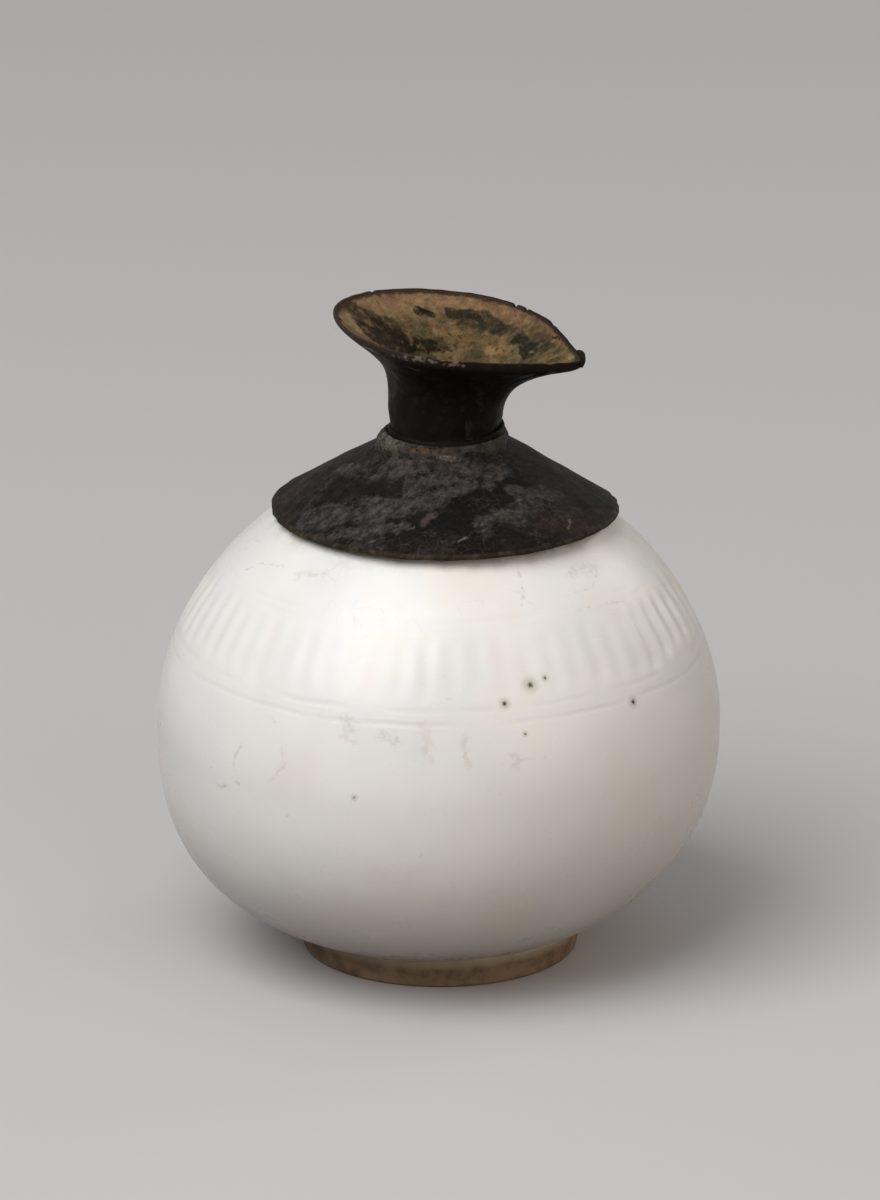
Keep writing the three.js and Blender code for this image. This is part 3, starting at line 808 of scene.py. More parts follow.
@dataclass
class Piece:
    """What every piece of the spittoon has.

    Attributes:
        name: Its name.
        slot: The record's material slot for it; not used.
        nodes: The CAD nodes that it stands for.
        body: The body that it rides on.
        closing: Whether its profile is a loop or ends in poles.
        crease: Angle in degrees above which its edges stay sharp.
        axis: The mouthpiece's axis and the cone's slope.
    """

    name: str
    slot: Slot
    nodes: tuple[str, ...]
    body: str = "mouthpiece"
    closing: Closing = Closing.LOOP
    crease: float = 50.0
    axis: MouthAxis = field(default_factory=MouthAxis)

    def settle(self, grid: Array, *finishes: bpy.types.Material) -> bpy.types.Object:
        """Makes the piece's mesh, gives it its finishes and body, and hides the CAD nodes that it stands for.

        Args:
            grid: Its places in millimetres, of shape (around, along, 3).
            *finishes: Its materials, in the order of its faces' indices.

        Returns:
            The piece.
        """
        shape = surface(self.name, grid, self.closing, self.crease)
        for finish in finishes:
            shape.data.materials.append(finish)
        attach(shape, self.body)
        if self.nodes:
            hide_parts(*self.nodes)
        LOG.info("%s: %d faces, rides on %s", shape.name, len(shape.data.polygons), self.body)
        return shape


@dataclass
class PorcelainJar(Piece):
    """The thrown jar: foot, slumped belly, flutes, ground neck stub and the hollow inside."""

    name: str = "porcelain_jar"
    body: str = "jar"
    slot: Slot = Slot.PORCELAIN
    nodes: tuple[str, ...] = ("jar_body",)
    closing: Closing = Closing.POLES
    belly_radius: float = 65.0
    belly_height: float = 54.6
    upper_rise: float = 62.3
    upper_power: float = 1.905
    lower_drop: float = 52.1
    lower_power: float = 2.41
    sag: float = 1.6
    upper_shift: float = 0.2
    shoulder_height: float = 100.6
    bearing_height: float = 109.48
    stub_radius: float = 20.5
    stub_root: float = 113.3
    stub_top: float = 115.5
    bore_radius: float = 16.5
    wall: float = 4.8
    floor: float = 9.5
    foot_radius: float = 31.9
    foot_inside: float = 26.9
    foot_height: float = 7.0
    foot_flare: float = 1.3
    foot_recess: float = 5.0
    foot_shift: float = 0.3
    flutes: int = 60
    flute_depth: float = 0.56
    flute_wear: float = 0.68
    flute_low: float = 77.8
    flute_high: float = 92.2
    flute_margin: float = 1.8
    flute_fade: tuple[float, float] = (3.4, 4.4)
    hand: tuple[Layer, ...] = ((0.16, 24.0, 11), (0.05, 9.0, 12))
    around: int = 540

    def belly(self, height: Array, inset: float = 0.0, drop: float | None = None) -> Array:
        """Radius of the belly's rounded outline.

        Formula: above and below the widest circle, (radius / widest)^p + (distance / reach)^p = 1.

        Args:
            height: Heights.
            inset: How far inside the outline the curve is drawn.
            drop: Reach below the widest circle, when it isn't the outside's.

        Returns:
            The radii.
        """
        above = height >= self.belly_height
        power = np.where(above, self.upper_power, self.lower_power)
        reach = np.where(above, self.upper_rise - inset, self.lower_drop if drop is None else drop)
        share = np.clip(np.abs(height - self.belly_height) / reach, 0.0, 1.0)
        return (self.belly_radius - inset) * (1.0 - share**power) ** (1.0 / power)

    def spaced(self, start: float, end: float, steps: int, reach: float, power: float) -> Array:
        """Heights on one side of the widest circle, closer together where the outline turns fast.

        Formula: with a running evenly, distance from the widest circle = reach sin(a)^(2 / p).

        Args:
            start: First height.
            end: Last height, on the same side.
            steps: Number of steps between them.
            reach: Distance at which the outline closes.
            power: The outline's power p.

        Returns:
            The heights, steps + 1 of them.
        """
        middle = self.belly_height
        ends = [math.asin(min(abs(h - middle) / reach, 1.0) ** (power / 2.0)) for h in (start, end)]
        turn = np.linspace(ends[0], ends[1], steps + 1)
        side = 1.0 if start + end > 2.0 * middle else -1.0
        return middle + side * reach * np.sin(turn) ** (2.0 / power)

    def drift(self, height: Array) -> Array:
        """Sideways place of the axis: slumped left below the belly, drawn right at the neck.

        Args:
            height: Heights.

        Returns:
            The axis's x at each of them.
        """
        slump = self.sag * (1.0 - soft_step(self.foot_height, self.belly_height, height))
        upper = self.upper_shift * soft_step(self.belly_height, self.shoulder_height, height)
        rest = self.axis.middle - self.upper_shift
        return upper - slump + rest * soft_step(self.shoulder_height, self.bearing_height, height)

    def foot(self) -> Array:
        """Profile of the foot, from the middle of its underside to its upper ledge.

        Returns:
            Its radii and heights.
        """
        inside, outside, top = self.foot_inside, self.foot_radius, self.foot_radius + self.foot_flare
        return np.array(
            [
                (0.0, self.foot_recess), (13.0, self.foot_recess), (22.0, self.foot_recess),
                (inside - 0.9, self.foot_recess), (inside - 0.25, self.foot_recess - 0.25),
                (inside, self.foot_recess - 0.8), (inside, 2.5), (inside, 0.6), (inside + 0.15, 0.15),
                (inside + 0.6, 0.0), (inside + 2.4, 0.0), (outside - 0.7, 0.0), (outside - 0.2, 0.2),
                (outside, 0.7), (outside + 0.4, 2.6), (outside + 0.8, 4.5),
                (top - 0.06, self.foot_height - 0.8), (top - 0.2, self.foot_height - 0.25),
                (top - 0.7, self.foot_height),
            ]
        )

    def outside(self) -> Array:
        """Profile of the glazed outside, from the foot's ledge to the ground top of the stub.

        Returns:
            Its radii and heights.
        """
        lower = self.spaced(self.foot_height + 0.02, self.belly_height, 38, self.lower_drop, self.lower_power)
        low, high = self.flute_low - self.flute_margin, self.flute_high + self.flute_margin
        heights = np.concatenate(
            [
                lower,
                np.linspace(self.belly_height, low, 15)[1:],
                np.linspace(low, high, 27)[1:],
                np.linspace(high, self.shoulder_height, 7)[1:],
            ]
        )
        belly = pairs(self.belly(heights), heights)
        bearing = np.array([self.axis.bearing_radius, self.bearing_height])
        along = np.array([-1.0, math.tan(self.axis.slope)])
        root = np.array([self.stub_radius + 1.5, self.stub_root])
        shoulder = sweep(belly[-1], belly[-1] - belly[-2], bearing, along, 9)[1:]
        fillet = sweep(bearing, along, root, np.array([-1.0, 0.0]), 6)[1:]
        top = self.stub_top
        stub = np.array(
            [
                (self.stub_radius + 0.3, self.stub_root + 0.35),
                (self.stub_radius, self.stub_root + 0.9), (self.stub_radius, top - 0.6),
                (self.stub_radius - 0.2, top - 0.2), (self.stub_radius - 0.6, top),
            ]
        )
        return np.concatenate([belly, shoulder, fillet, stub])

    def hollow(self) -> Array:
        """Profile of the bore and of the hollow, from the stub's top to the middle of the floor.

        Returns:
            Its radii and heights.
        """
        rise, drop = self.upper_rise - self.wall, self.belly_height - self.floor
        share = (self.bore_radius / (self.belly_radius - self.wall)) ** self.upper_power
        start = self.belly_height + rise * (1.0 - share) ** (1.0 / self.upper_power)
        heights = np.concatenate(
            [
                self.spaced(start, self.belly_height, 14, rise, self.upper_power),
                self.spaced(self.belly_height, self.floor, 16, drop, self.lower_power)[1:],
            ]
        )
        heights[-1] = self.floor
        radii = self.belly(heights, self.wall, drop)
        bore = np.array(
            [
                (self.bore_radius + 0.6, self.stub_top), (self.bore_radius, self.stub_top - 0.5),
                (self.bore_radius, self.stub_top - 3.0),
            ]
        )
        return np.concatenate([bore, pairs(radii, heights)])

    def carving(self, angle: Array, height: Array) -> Array:
        """Depth of the flutes.

        Formula: half of 1 - cos(count x angle), times each flute's own strength, fading in at its
        own lower end and out at its upper end, and shallower towards the worn front.

        Args:
            angle: Directions, as a column.
            height: Heights, as a row.

        Returns:
            How deep the surface is cut at each of them.
        """
        random = np.random.default_rng(7)
        strength, low, high = random.uniform([0.55, -1.3, -1.6], [1.15, 1.3, 1.2], (self.flutes, 3)).T
        flute = np.floor(angle / FULL_TURN * self.flutes).astype(int) % self.flutes
        bottom, top = self.flute_low + low[flute], self.flute_high + high[flute]
        rise, fall = self.flute_fade
        share = soft_step(bottom, bottom + rise, height) * (1.0 - soft_step(top - fall, top, height))
        worn = 1.0 - self.flute_wear * (1.0 - soft_step(0.05, 0.4, 0.5 + 0.5 * np.sin(angle)))
        wave = 0.5 - 0.5 * np.cos(self.flutes * angle)
        return self.flute_depth * strength[flute] * worn * wave * share

    def build(self, finish: GlazedPorcelain) -> bpy.types.Object:
        """Turns the profile, carves the flutes and lets the body slump.

        Args:
            finish: The jar's glaze and clay.

        Returns:
            The jar.
        """
        foot, outside, hollow = self.foot(), self.outside(), self.hollow()
        profile = np.concatenate([foot, outside, hollow])
        radius, height = rows(profile)
        angle = round_angles(self.around)
        shown = np.zeros(profile.shape[0])
        shown[len(foot) : len(foot) + len(outside)] = 1.0
        shown = shown * (1.0 - soft_step(self.shoulder_height, self.bearing_height, profile[:, 1]))
        shown = shown * soft_step(self.foot_height, self.foot_height + 5.0, profile[:, 1])
        middle = np.where(np.arange(len(profile)) < len(foot), self.foot_shift, self.drift(profile[:, 1]))
        hand = relief(turned(radius, angle, height), *self.hand)
        carved = radius - shown * self.carving(angle, height) + shown * hand
        grid = turned(carved, angle, height, middle)
        return self.settle(grid, finish.material())


@dataclass
class ShoulderCone(Piece):
    """The cone of sheet metal, dented by hand and bent down at the back right."""

    name: str = "cone_sheet"
    slot: Slot = Slot.SHEET
    nodes: tuple[str, ...] = ("shoulder_cone",)
    radius: float = 39.8
    dip_depth: float = 2.1
    dip_bearing: float = 42.0
    dip_width: float = 60.0
    dip_start: float = 21.0
    dents: tuple[Layer, ...] = ((0.2, 11.0, 21), (0.1, 4.5, 22))
    nibbles: Layer = (0.18, 3.0, 23)
    around: int = 360

    def bend(self, angle: Array, radius: Array) -> Array:
        """How far the sheet is bent down: a squared cosine round the dip, growing outwards from its start.

        Args:
            angle: Directions, as a column.
            radius: Radii, as a row.

        Returns:
            The dip's depth at each of them.
        """
        off = off_bearing(np.degrees(angle), self.dip_bearing)
        share = np.where(np.abs(off) < self.dip_width, np.cos(off / self.dip_width * math.pi / 2.0) ** 2, 0.0)
        out = np.clip(radius - self.dip_start, 0.0, None) / (self.radius - self.dip_start)
        return self.dip_depth * share * out

    def build(self, finish: TarnishedSheet) -> bpy.types.Object:
        """Turns the sheet and dents both faces alike.

        Args:
            finish: The cone's tarnish.

        Returns:
            The cone.
        """
        axis = self.axis
        out = np.linspace(axis.hole, self.radius - 0.25, 40)
        back = np.linspace(self.radius - 0.25, axis.hole, 16)
        edge_low, edge_high = axis.under(self.radius), axis.upper(self.radius)
        edge = np.array([(self.radius, edge_high - 0.2), (self.radius, edge_low + 0.25)])
        upper, under = pairs(out, axis.upper(out)), pairs(back, axis.under(back))
        radius, height = rows(np.concatenate([upper, edge, under]))
        angle = round_angles(self.around)
        flat = turned(radius, angle, 0.0)
        outwards = soft_step(axis.hole + 3.0, self.radius - 12.0, radius)
        dents = outwards * relief(flat, *self.dents)
        nibble = soft_step(self.radius - 2.0, self.radius, radius) * relief(flat, self.nibbles)
        grid = turned(radius + nibble, angle, height - self.bend(angle, radius) + dents, axis.middle)
        return self.settle(grid, finish.material())


@dataclass
class SolderBead(Piece):
    """The bead round the neck's base, thick on the left, with a drip at the front."""

    name: str = "bead_crust"
    slot: Slot = Slot.SOLDER
    nodes: tuple[str, ...] = ("solder_bead",)
    crease: float = 70.0
    inside: float = 13.45
    start: float = 13.9
    width: float = 1.5
    height: float = 2.2
    drift: float = 0.75
    drip: tuple[float, float, float] = (-92.0, 9.0, 0.5)
    thin: tuple[float, float, float] = (-112.0, 20.0, 0.45)
    sink: float = 0.35
    crust: tuple[Layer, ...] = ((0.42, 3.1, 31), (0.24, 1.2, 32))
    around: int = 420

    @staticmethod
    def spot(bearing: Array, middle: float, spread: float) -> Array:
        """A bump round the bead: e to the power of minus (degrees off the middle / spread) squared."""
        return np.exp(-((off_bearing(bearing, middle) / spread) ** 2))

    def build(self, finish: SolderCrust) -> bpy.types.Object:
        """Turns a quarter round that follows the cone, and roughens it.

        Args:
            finish: The solder.

        Returns:
            The bead.
        """
        angle = round_angles(self.around)
        turn = np.linspace(0.0, math.pi / 2.0, 24)[None, :]
        bearing = np.degrees(angle)
        drip, thin = self.spot(bearing, *self.drip[:2]), self.spot(bearing, *self.thin[:2])
        width = self.width - self.drift * np.cos(angle) + self.drip[2] * drip - self.thin[2] * thin
        radius = self.start + width * np.cos(turn)
        height = self.axis.upper(radius) + 0.25 + (self.height - self.sink * thin) * np.sin(turn)
        crust = relief(turned(radius, angle, height), *self.crust)
        radius = radius + crust * np.cos(turn * 0.8)
        height = height + crust * np.sin(turn) * 0.8
        height[:, 0] = self.axis.upper(radius[:, 0]) - 0.15
        foot = float(self.axis.upper(self.inside))
        wall = np.full((self.around, 2), self.inside)
        ends = np.tile([foot + self.height - 0.1, foot - 0.15], (self.around, 1))
        radius, height = np.hstack([radius, wall]), np.hstack([height, ends])
        grid = turned(radius, angle, height, self.axis.middle)
        return self.settle(grid, finish.material())


@dataclass
class NeckCollar(Piece):
    """The thin band that stands up round the neck's base, its edge bent and uneven."""

    name: str = "collar_band"
    slot: Slot = Slot.NECK
    nodes: tuple[str, ...] = ("neck_collar",)
    crease: float = 70.0
    outside: float = 13.6
    height: float = 3.0
    lean: float = 0.62
    worn_depth: float = 0.5
    dents: Layer = (0.12, 4.0, 42)
    waves: Layer = (0.2, 5.0, 41)
    around: int = 240

    def build(self, finish: BlackNeck) -> bpy.types.Object:
        """Turns the band with a rounded, wavy upper edge.

        Args:
            finish: The collar's black.

        Returns:
            The collar.
        """
        foot = self.axis.top + 0.1
        top = foot + self.height + 0.2
        inside, outside = self.axis.neck_radius - 0.2, self.outside
        profile = np.array(
            [
                (inside, foot), (outside - 0.1, foot), (outside, foot + 1.0), (outside, top - 0.5),
                (outside - 0.12, top - 0.12), (outside - 0.35, top), (inside + 0.3, top - 0.1),
                (inside, top - 0.3),
            ]
        )
        radius, height = rows(profile)
        angle = round_angles(self.around)
        share = soft_step(foot + 0.5, top, height)
        ring = turned(self.outside, angle, 0.0)
        worn = 1.0 - soft_step(0.55, 0.95, np.cos(angle))
        lean = share * (radius > inside + 0.35) * (relief(ring, self.dents) - self.lean * worn)
        lift = share * (relief(ring, self.waves) - self.worn_depth * worn)
        grid = turned(radius + lean, angle, height + lift, self.axis.middle)
        return self.settle(grid, finish.material())


@dataclass
class MouthFunnel(Piece):
    """The neck and the tilted bowl with its beak, nicked and uneven at the rim."""

    name: str = "mouth_sheet"
    slot: Slot = Slot.NECK
    nodes: tuple[str, ...] = ("mouth_funnel",)
    crease: float = 60.0
    sheet: float = 1.1
    rim_sheet: float = 0.75
    swell: float = 0.6
    collar_rise: float = 3.3
    flare_rise: tuple[float, float] = (6.25, -1.0)
    neck_rise: tuple[float, float] = (15.4, -3.95)
    throat_rise: tuple[float, float] = (18.1, -1.5)
    throat_reach: tuple[float, float] = (4.2, 0.95)
    mouth_radius: float = 25.5
    mouth_rise: float = 26.3
    shift: tuple[float, float] = (0.95, 0.5)
    roll: float = 5.84
    pitch: float = 1.84
    wall: tuple[float, float] = (2.4, 0.6)
    turn: float = 1.0
    fullness: float = 0.6
    bulge: float = 1.3
    bulge_bearing: float = math.radians(152.0)
    bulge_sharpness: float = 3.0
    beak_reach: float = 37.2
    beak_lift: float = 0.9
    beak_lean: float = 0.28
    beak_bearing: float = math.radians(-31.0)
    beak_rounding: float = math.radians(3.0)
    crowding: float = 0.5
    wander: Layer = (0.16, 7.0, 53)
    waves: tuple[Layer, ...] = ((0.13, 5.0, 51), (0.07, 1.7, 52))
    dents: Layer = (0.1, 6.0, 54)
    around: int = 520
    nicks: tuple[tuple[float, float, float], ...] = (
        (52.6, 0.9, 0.45),
        (45.0, 0.6, 0.35),
        (132.4, 0.5, 0.5),
        (20.0, 0.35, 1.2),
        (-42.0, 0.35, 0.8),
        (100.0, 0.2, 2.0),
    )

    def rim_radius(self, direction: Array) -> Array:
        """Distance from the rim's middle to the rim.

        Formula: a circle's radius, or where the beak's two tangents are nearer the beak than their
        touching points, radius / cos(tangent angle - angle off the beak), its tip rounded off; then
        the back left side is fuller by bulge * cosine of the angle off its bearing, to a power.

        Args:
            direction: Directions round the rim's middle.

        Returns:
            The rim's distance in each.
        """
        off = (direction - self.beak_bearing + math.pi) % FULL_TURN - math.pi
        off = np.hypot(off, self.beak_rounding)
        tangent = math.acos(self.mouth_radius / self.beak_reach)
        drawn_out = self.mouth_radius / np.cos(np.minimum(tangent - off, 1.4))
        drawn = np.where(off < tangent, drawn_out, self.mouth_radius)
        fuller = np.clip(np.cos(direction - self.bulge_bearing), 0.0, None) ** self.bulge_sharpness
        return drawn + self.bulge * fuller

    def rim_height(self, direction: Array, reach: Array) -> Array:
        """Height of the rim: a tilted plane, the beak's tip turned up, with nicks and small waves.

        Args:
            direction: Directions round the rim's middle.
            reach: The rim's distance in each.

        Returns:
            The rim's height in each.
        """
        fall = reach * np.cos(direction) * math.tan(math.radians(self.roll))
        fall -= reach * np.sin(direction) * math.tan(math.radians(self.pitch))
        out = np.clip(reach - self.mouth_radius, 0.0, None) / (self.beak_reach - self.mouth_radius)
        height = self.axis.top + self.mouth_rise - fall + self.beak_lift * out**2
        for bearing, depth, width in self.nicks:
            off = off_bearing(np.degrees(direction), bearing)
            height = height - depth * np.exp(-((np.radians(off) * reach / width) ** 2))
        return height + relief(turned(reach, direction, 0.0), *self.waves)

    def outline(self, direction: Array) -> Array:
        """Outer side of the neck and bowl: a cubic up the neck and out along the underside, then the lip.

        Formula: a pair's value in a direction is its first + its second x cos(direction).

        Args:
            direction: Directions round the neck.

        Returns:
            The outline's points in each direction, from the neck's foot to the rim.
        """

        def towards(pair: tuple[float, float]) -> Array:
            """A pair's value in each direction."""
            return pair[0] + pair[1] * np.cos(direction)

        ring = turned(self.mouth_radius, direction, 0.0)
        reach = self.rim_radius(direction) + relief(ring, self.wander)
        top = self.rim_height(direction, reach)
        wall = towards(self.wall)
        turn = self.turn + self.beak_lean * np.clip(reach - self.mouth_radius, 0.0, None)
        held, base = np.full_like(direction, self.axis.neck_radius), self.axis.top
        neck = held + self.swell
        start = pairs(neck, base + towards(self.flare_rise))
        pull = pairs(neck, base + towards(self.neck_rise))
        throat = pairs(neck + towards(self.throat_reach), base + towards(self.throat_rise))
        under, full = pairs(reach - turn, top - wall), pairs(reach, top - wall * self.fullness)
        foot = pairs(held, self.axis.under(self.axis.hole - 0.7))
        collar = pairs(held, base + self.collar_rise)
        straight = [curve([foot, collar], 3)[..., :-1, :], curve([collar, start], 3)[..., :-1, :]]
        bowl = curve([start, pull, throat, under], 26)
        lip = curve([under, full, pairs(reach, top)], 7)[..., 1:, :]
        return np.concatenate([*straight, bowl, lip], axis=-2)

    def build(self, outer: BlackNeck, deposit: BowlDeposit) -> bpy.types.Object:
        """Makes the sheet of its outer outline and of the same moved inwards by its thickness.

        Args:
            outer: The black of the neck and the bowl's outside.
            deposit: The crust inside the bowl.

        Returns:
            The funnel.
        """
        even = np.linspace(-math.pi, math.pi, self.around, endpoint=False)
        direction = self.beak_bearing + even - self.crowding * np.sin(even)
        outside = self.outline(direction)
        along = np.gradient(outside, axis=1)
        along /= np.linalg.norm(along, axis=-1, keepdims=True)
        share = np.linspace(0.0, 1.0, outside.shape[1])[None, :, None] ** 3
        sheet = self.sheet + (self.rim_sheet - self.sheet) * share
        inside = outside + sheet * pairs(-along[..., 1], along[..., 0])
        crown = (outside[:, -1:] + inside[:, -1:]) / 2.0 + np.array([0.0, 0.12])
        section = np.concatenate([outside, crown, inside[:, ::-1]], axis=1)
        angle = direction[:, None]
        rise = section[..., 1]
        rim = outside[:, -1, 1][:, None]
        collar = self.axis.top + self.collar_rise - 0.3
        lean = soft_step(collar, rim, rise)
        grid = turned(section[..., 0], angle, rise, self.axis.middle)
        grid[..., 0] += lean * self.shift[0]
        grid[..., 1] += lean * self.shift[1]
        grid += relief(grid, self.dents)[..., None] * turned(1.0, angle, 0.0)
        shape = self.settle(grid, outer.material(), deposit.material())
        lined = np.arange(section.shape[1]) > outside.shape[1]
        index = (lined[None, :] & (grid[..., 2] > collar)).astype(np.int32)
        shape.data.polygons.foreach_set("material_index", index.ravel())
        return shape


@dataclass
class BeakCurl(Piece):
    """The torn bit of sheet that curls up at the beak's tip."""

    name: str = "beak_curl"
    slot: Slot = Slot.NECK
    nodes: tuple[str, ...] = ()
    closing: Closing = Closing.POLES
    crease: float = 80.0
    path: tuple[Point, ...] = (
        (32.3, -18.2, 144.7),
        (33.1, -17.9, 146.8),
        (32.4, -16.4, 148.7),
        (30.7, -15.7, 147.6),
    )
    thickness: tuple[float, ...] = (0.7, 1.25, 1.15, 0.3)
    steps: int = 24
    crumple: Layer = (0.12, 1.1, 61)

    def build(self, finish: BlackNeck) -> bpy.types.Object:
        """Carries a flattened circle along a bent path.

        Formula: path and thickness are Bezier curves of their control values; each section lies
        across the path, in the plane of two directions square to it, and shrinks to a point at both ends.

        Args:
            finish: The curl's black.

        Returns:
            The curl.
        """
        share = np.linspace(0.0, 1.0, self.steps + 1)[:, None]
        middle = curve(self.path, self.steps)
        thick = curve([(value,) for value in self.thickness], self.steps)
        thick = thick * np.sqrt(np.clip(1.0 - (2.0 * share - 1.0) ** 8, 0.0, 1.0))
        along = np.gradient(middle, axis=0)
        along /= np.linalg.norm(along, axis=1, keepdims=True)
        side = np.cross(along, np.array([0.2, 1.0, 0.1]))
        side /= np.linalg.norm(side, axis=1, keepdims=True)
        across = np.cross(along, side)
        angle = round_angles(28)[..., None]
        grid = middle[None] + thick[None] * (0.55 * np.cos(angle) * side[None] + np.sin(angle) * across[None])
        grid = grid + relief(grid, self.crumple)[..., None] * np.array([1.0, 0.3, 0.6])
        return self.settle(grid, finish.material())


@dataclass
class TenonSleeve(Piece):
    """The sleeve that plugs into the jar, its flange and the seam of solder that holds it."""

    name: str = "sleeve_tube"
    slot: Slot = Slot.SHEET
    nodes: tuple[str, ...] = ("tenon_sleeve",)
    crease: float = 40.0
    radius: float = 13.2
    sheet: float = 1.0
    foot: float = 102.5
    flange: float = 4.8
    gap: float = 0.3
    around: int = 192

    def build(self, finish: TarnishedSheet) -> bpy.types.Object:
        """Turns the tube with its flange under the cone.

        Args:
            finish: The tube's tarnish.

        Returns:
            The sleeve.
        """
        inside, edge = self.radius - self.sheet, self.radius + self.flange
        thick = self.sheet / math.cos(self.axis.slope)

        def face(radius: float) -> float:
            """Height of the flange's upper face at a radius."""
            return float(self.axis.under(radius)) - self.gap

        profile = np.array(
            [
                (inside, self.foot + 0.15), (inside + 0.25, self.foot),
                (self.radius - 0.25, self.foot), (self.radius, self.foot + 0.25),
                (self.radius, self.foot + 5.0), (self.radius, face(self.radius) - thick - 0.5),
                (self.radius + 0.4, face(self.radius + 0.4) - thick), (edge - 0.1, face(edge) - thick),
                (edge, face(edge) - thick / 2.0), (edge - 0.1, face(edge)),
                (inside + 0.5, face(inside + 0.5)), (inside, face(inside) - 0.3),
                (inside, self.foot + 5.0),
            ]
        )
        radius, height = rows(profile)
        grid = turned(radius, round_angles(self.around), height, self.axis.middle)
        return self.settle(grid, finish.material())

    def seam(self, finish: SolderCrust) -> bpy.types.Object:
        """Turns the seam of solder at the flange's edge.

        Args:
            finish: The solder.

        Returns:
            The seam.
        """
        inside = self.radius + self.flange + self.gap
        outside = inside + 2.0
        near, far = float(self.axis.under(inside)) - 0.05, float(self.axis.under(outside)) - 0.05
        profile = np.array(
            [
                (inside - 0.2, near - 1.2), (inside + 0.7, near - 1.3), (outside - 0.4, far - 0.6),
                (outside, far), (inside - 0.2, near),
            ]
        )
        radius, height = rows(profile)
        angle = round_angles(self.around)
        ragged = np.array([0.0, 0.15, 0.3, 0.2, 0.0]) * (lumps(turned(outside, angle, 0.0), 3.0, 71) - 1.0)
        grid = turned(radius + ragged, angle, height, self.axis.middle)
        seam = Piece("flange_seam", Slot.SOLDER, ("flange_solder",), crease=60.0)
        return seam.settle(grid, finish.material())


@dataclass
class PackingRing(Piece):
    """The wound fibre between sleeve and bore, with a brim on the stub."""

    name: str = "hemp_winding"
    body: str = "packing"
    slot: Slot = Slot.HEMP
    nodes: tuple[str, ...] = ("packing_ring",)
    crease: float = 80.0
    inside: float = 13.5
    outside: float = 16.2
    brim: float = 17.5
    low: float = 108.8
    seat: float = 115.8
    top: float = 117.0
    strand: float = 1.25
    depth: float = 0.3
    brim_depth: float = 0.25
    around: int = 300

    def build(self, finish: HempFibre) -> bpy.types.Object:
        """Turns the ring, grooved between strands that climb one pitch in a turn.

        Formula: a groove is deepest where sin(pi (s / strand + angle / full turn)) is 0, with s the
        length along the profile: the square of 1 - |sin| times the depth, taken inwards.

        Args:
            finish: The hemp.

        Returns:
            The ring.
        """
        corners = np.array(
            [
                (self.inside, self.low), (self.outside, self.low), (self.outside, self.seat),
                (self.brim, self.seat), (self.brim, (self.seat + self.top) / 2.0),
                (self.brim - 0.6, self.top), (self.inside, self.top), (self.inside, self.low),
            ]
        )
        reach = np.concatenate([[0.0], np.cumsum(np.linalg.norm(np.diff(corners, axis=0), axis=1))])
        length = np.linspace(0.0, reach[-1], 110, endpoint=False)
        radius = np.interp(length, reach, corners[:, 0])[None, :]
        height = np.interp(length, reach, corners[:, 1])[None, :]
        angle = round_angles(self.around)
        groove = 1.0 - np.abs(np.sin(math.pi * (length[None, :] / self.strand + angle / FULL_TURN)))
        middle = (self.inside + self.outside) / 2.0
        inwards = np.sign(middle - radius) * self.depth * groove**2
        level = np.where(height > self.seat + 0.3, -self.brim_depth * groove**2, 0.0)
        grid = turned(radius + inwards, angle, height + level, self.axis.middle)
        return self.settle(grid, finish.material())


@dataclass(frozen=True)
class Lamp:
    """A soft square lamp: its name, place and side in metres, watts, and how warm its light is."""

    name: str
    at: Point
    size: float
    power: float
    warmth: float = 0.0


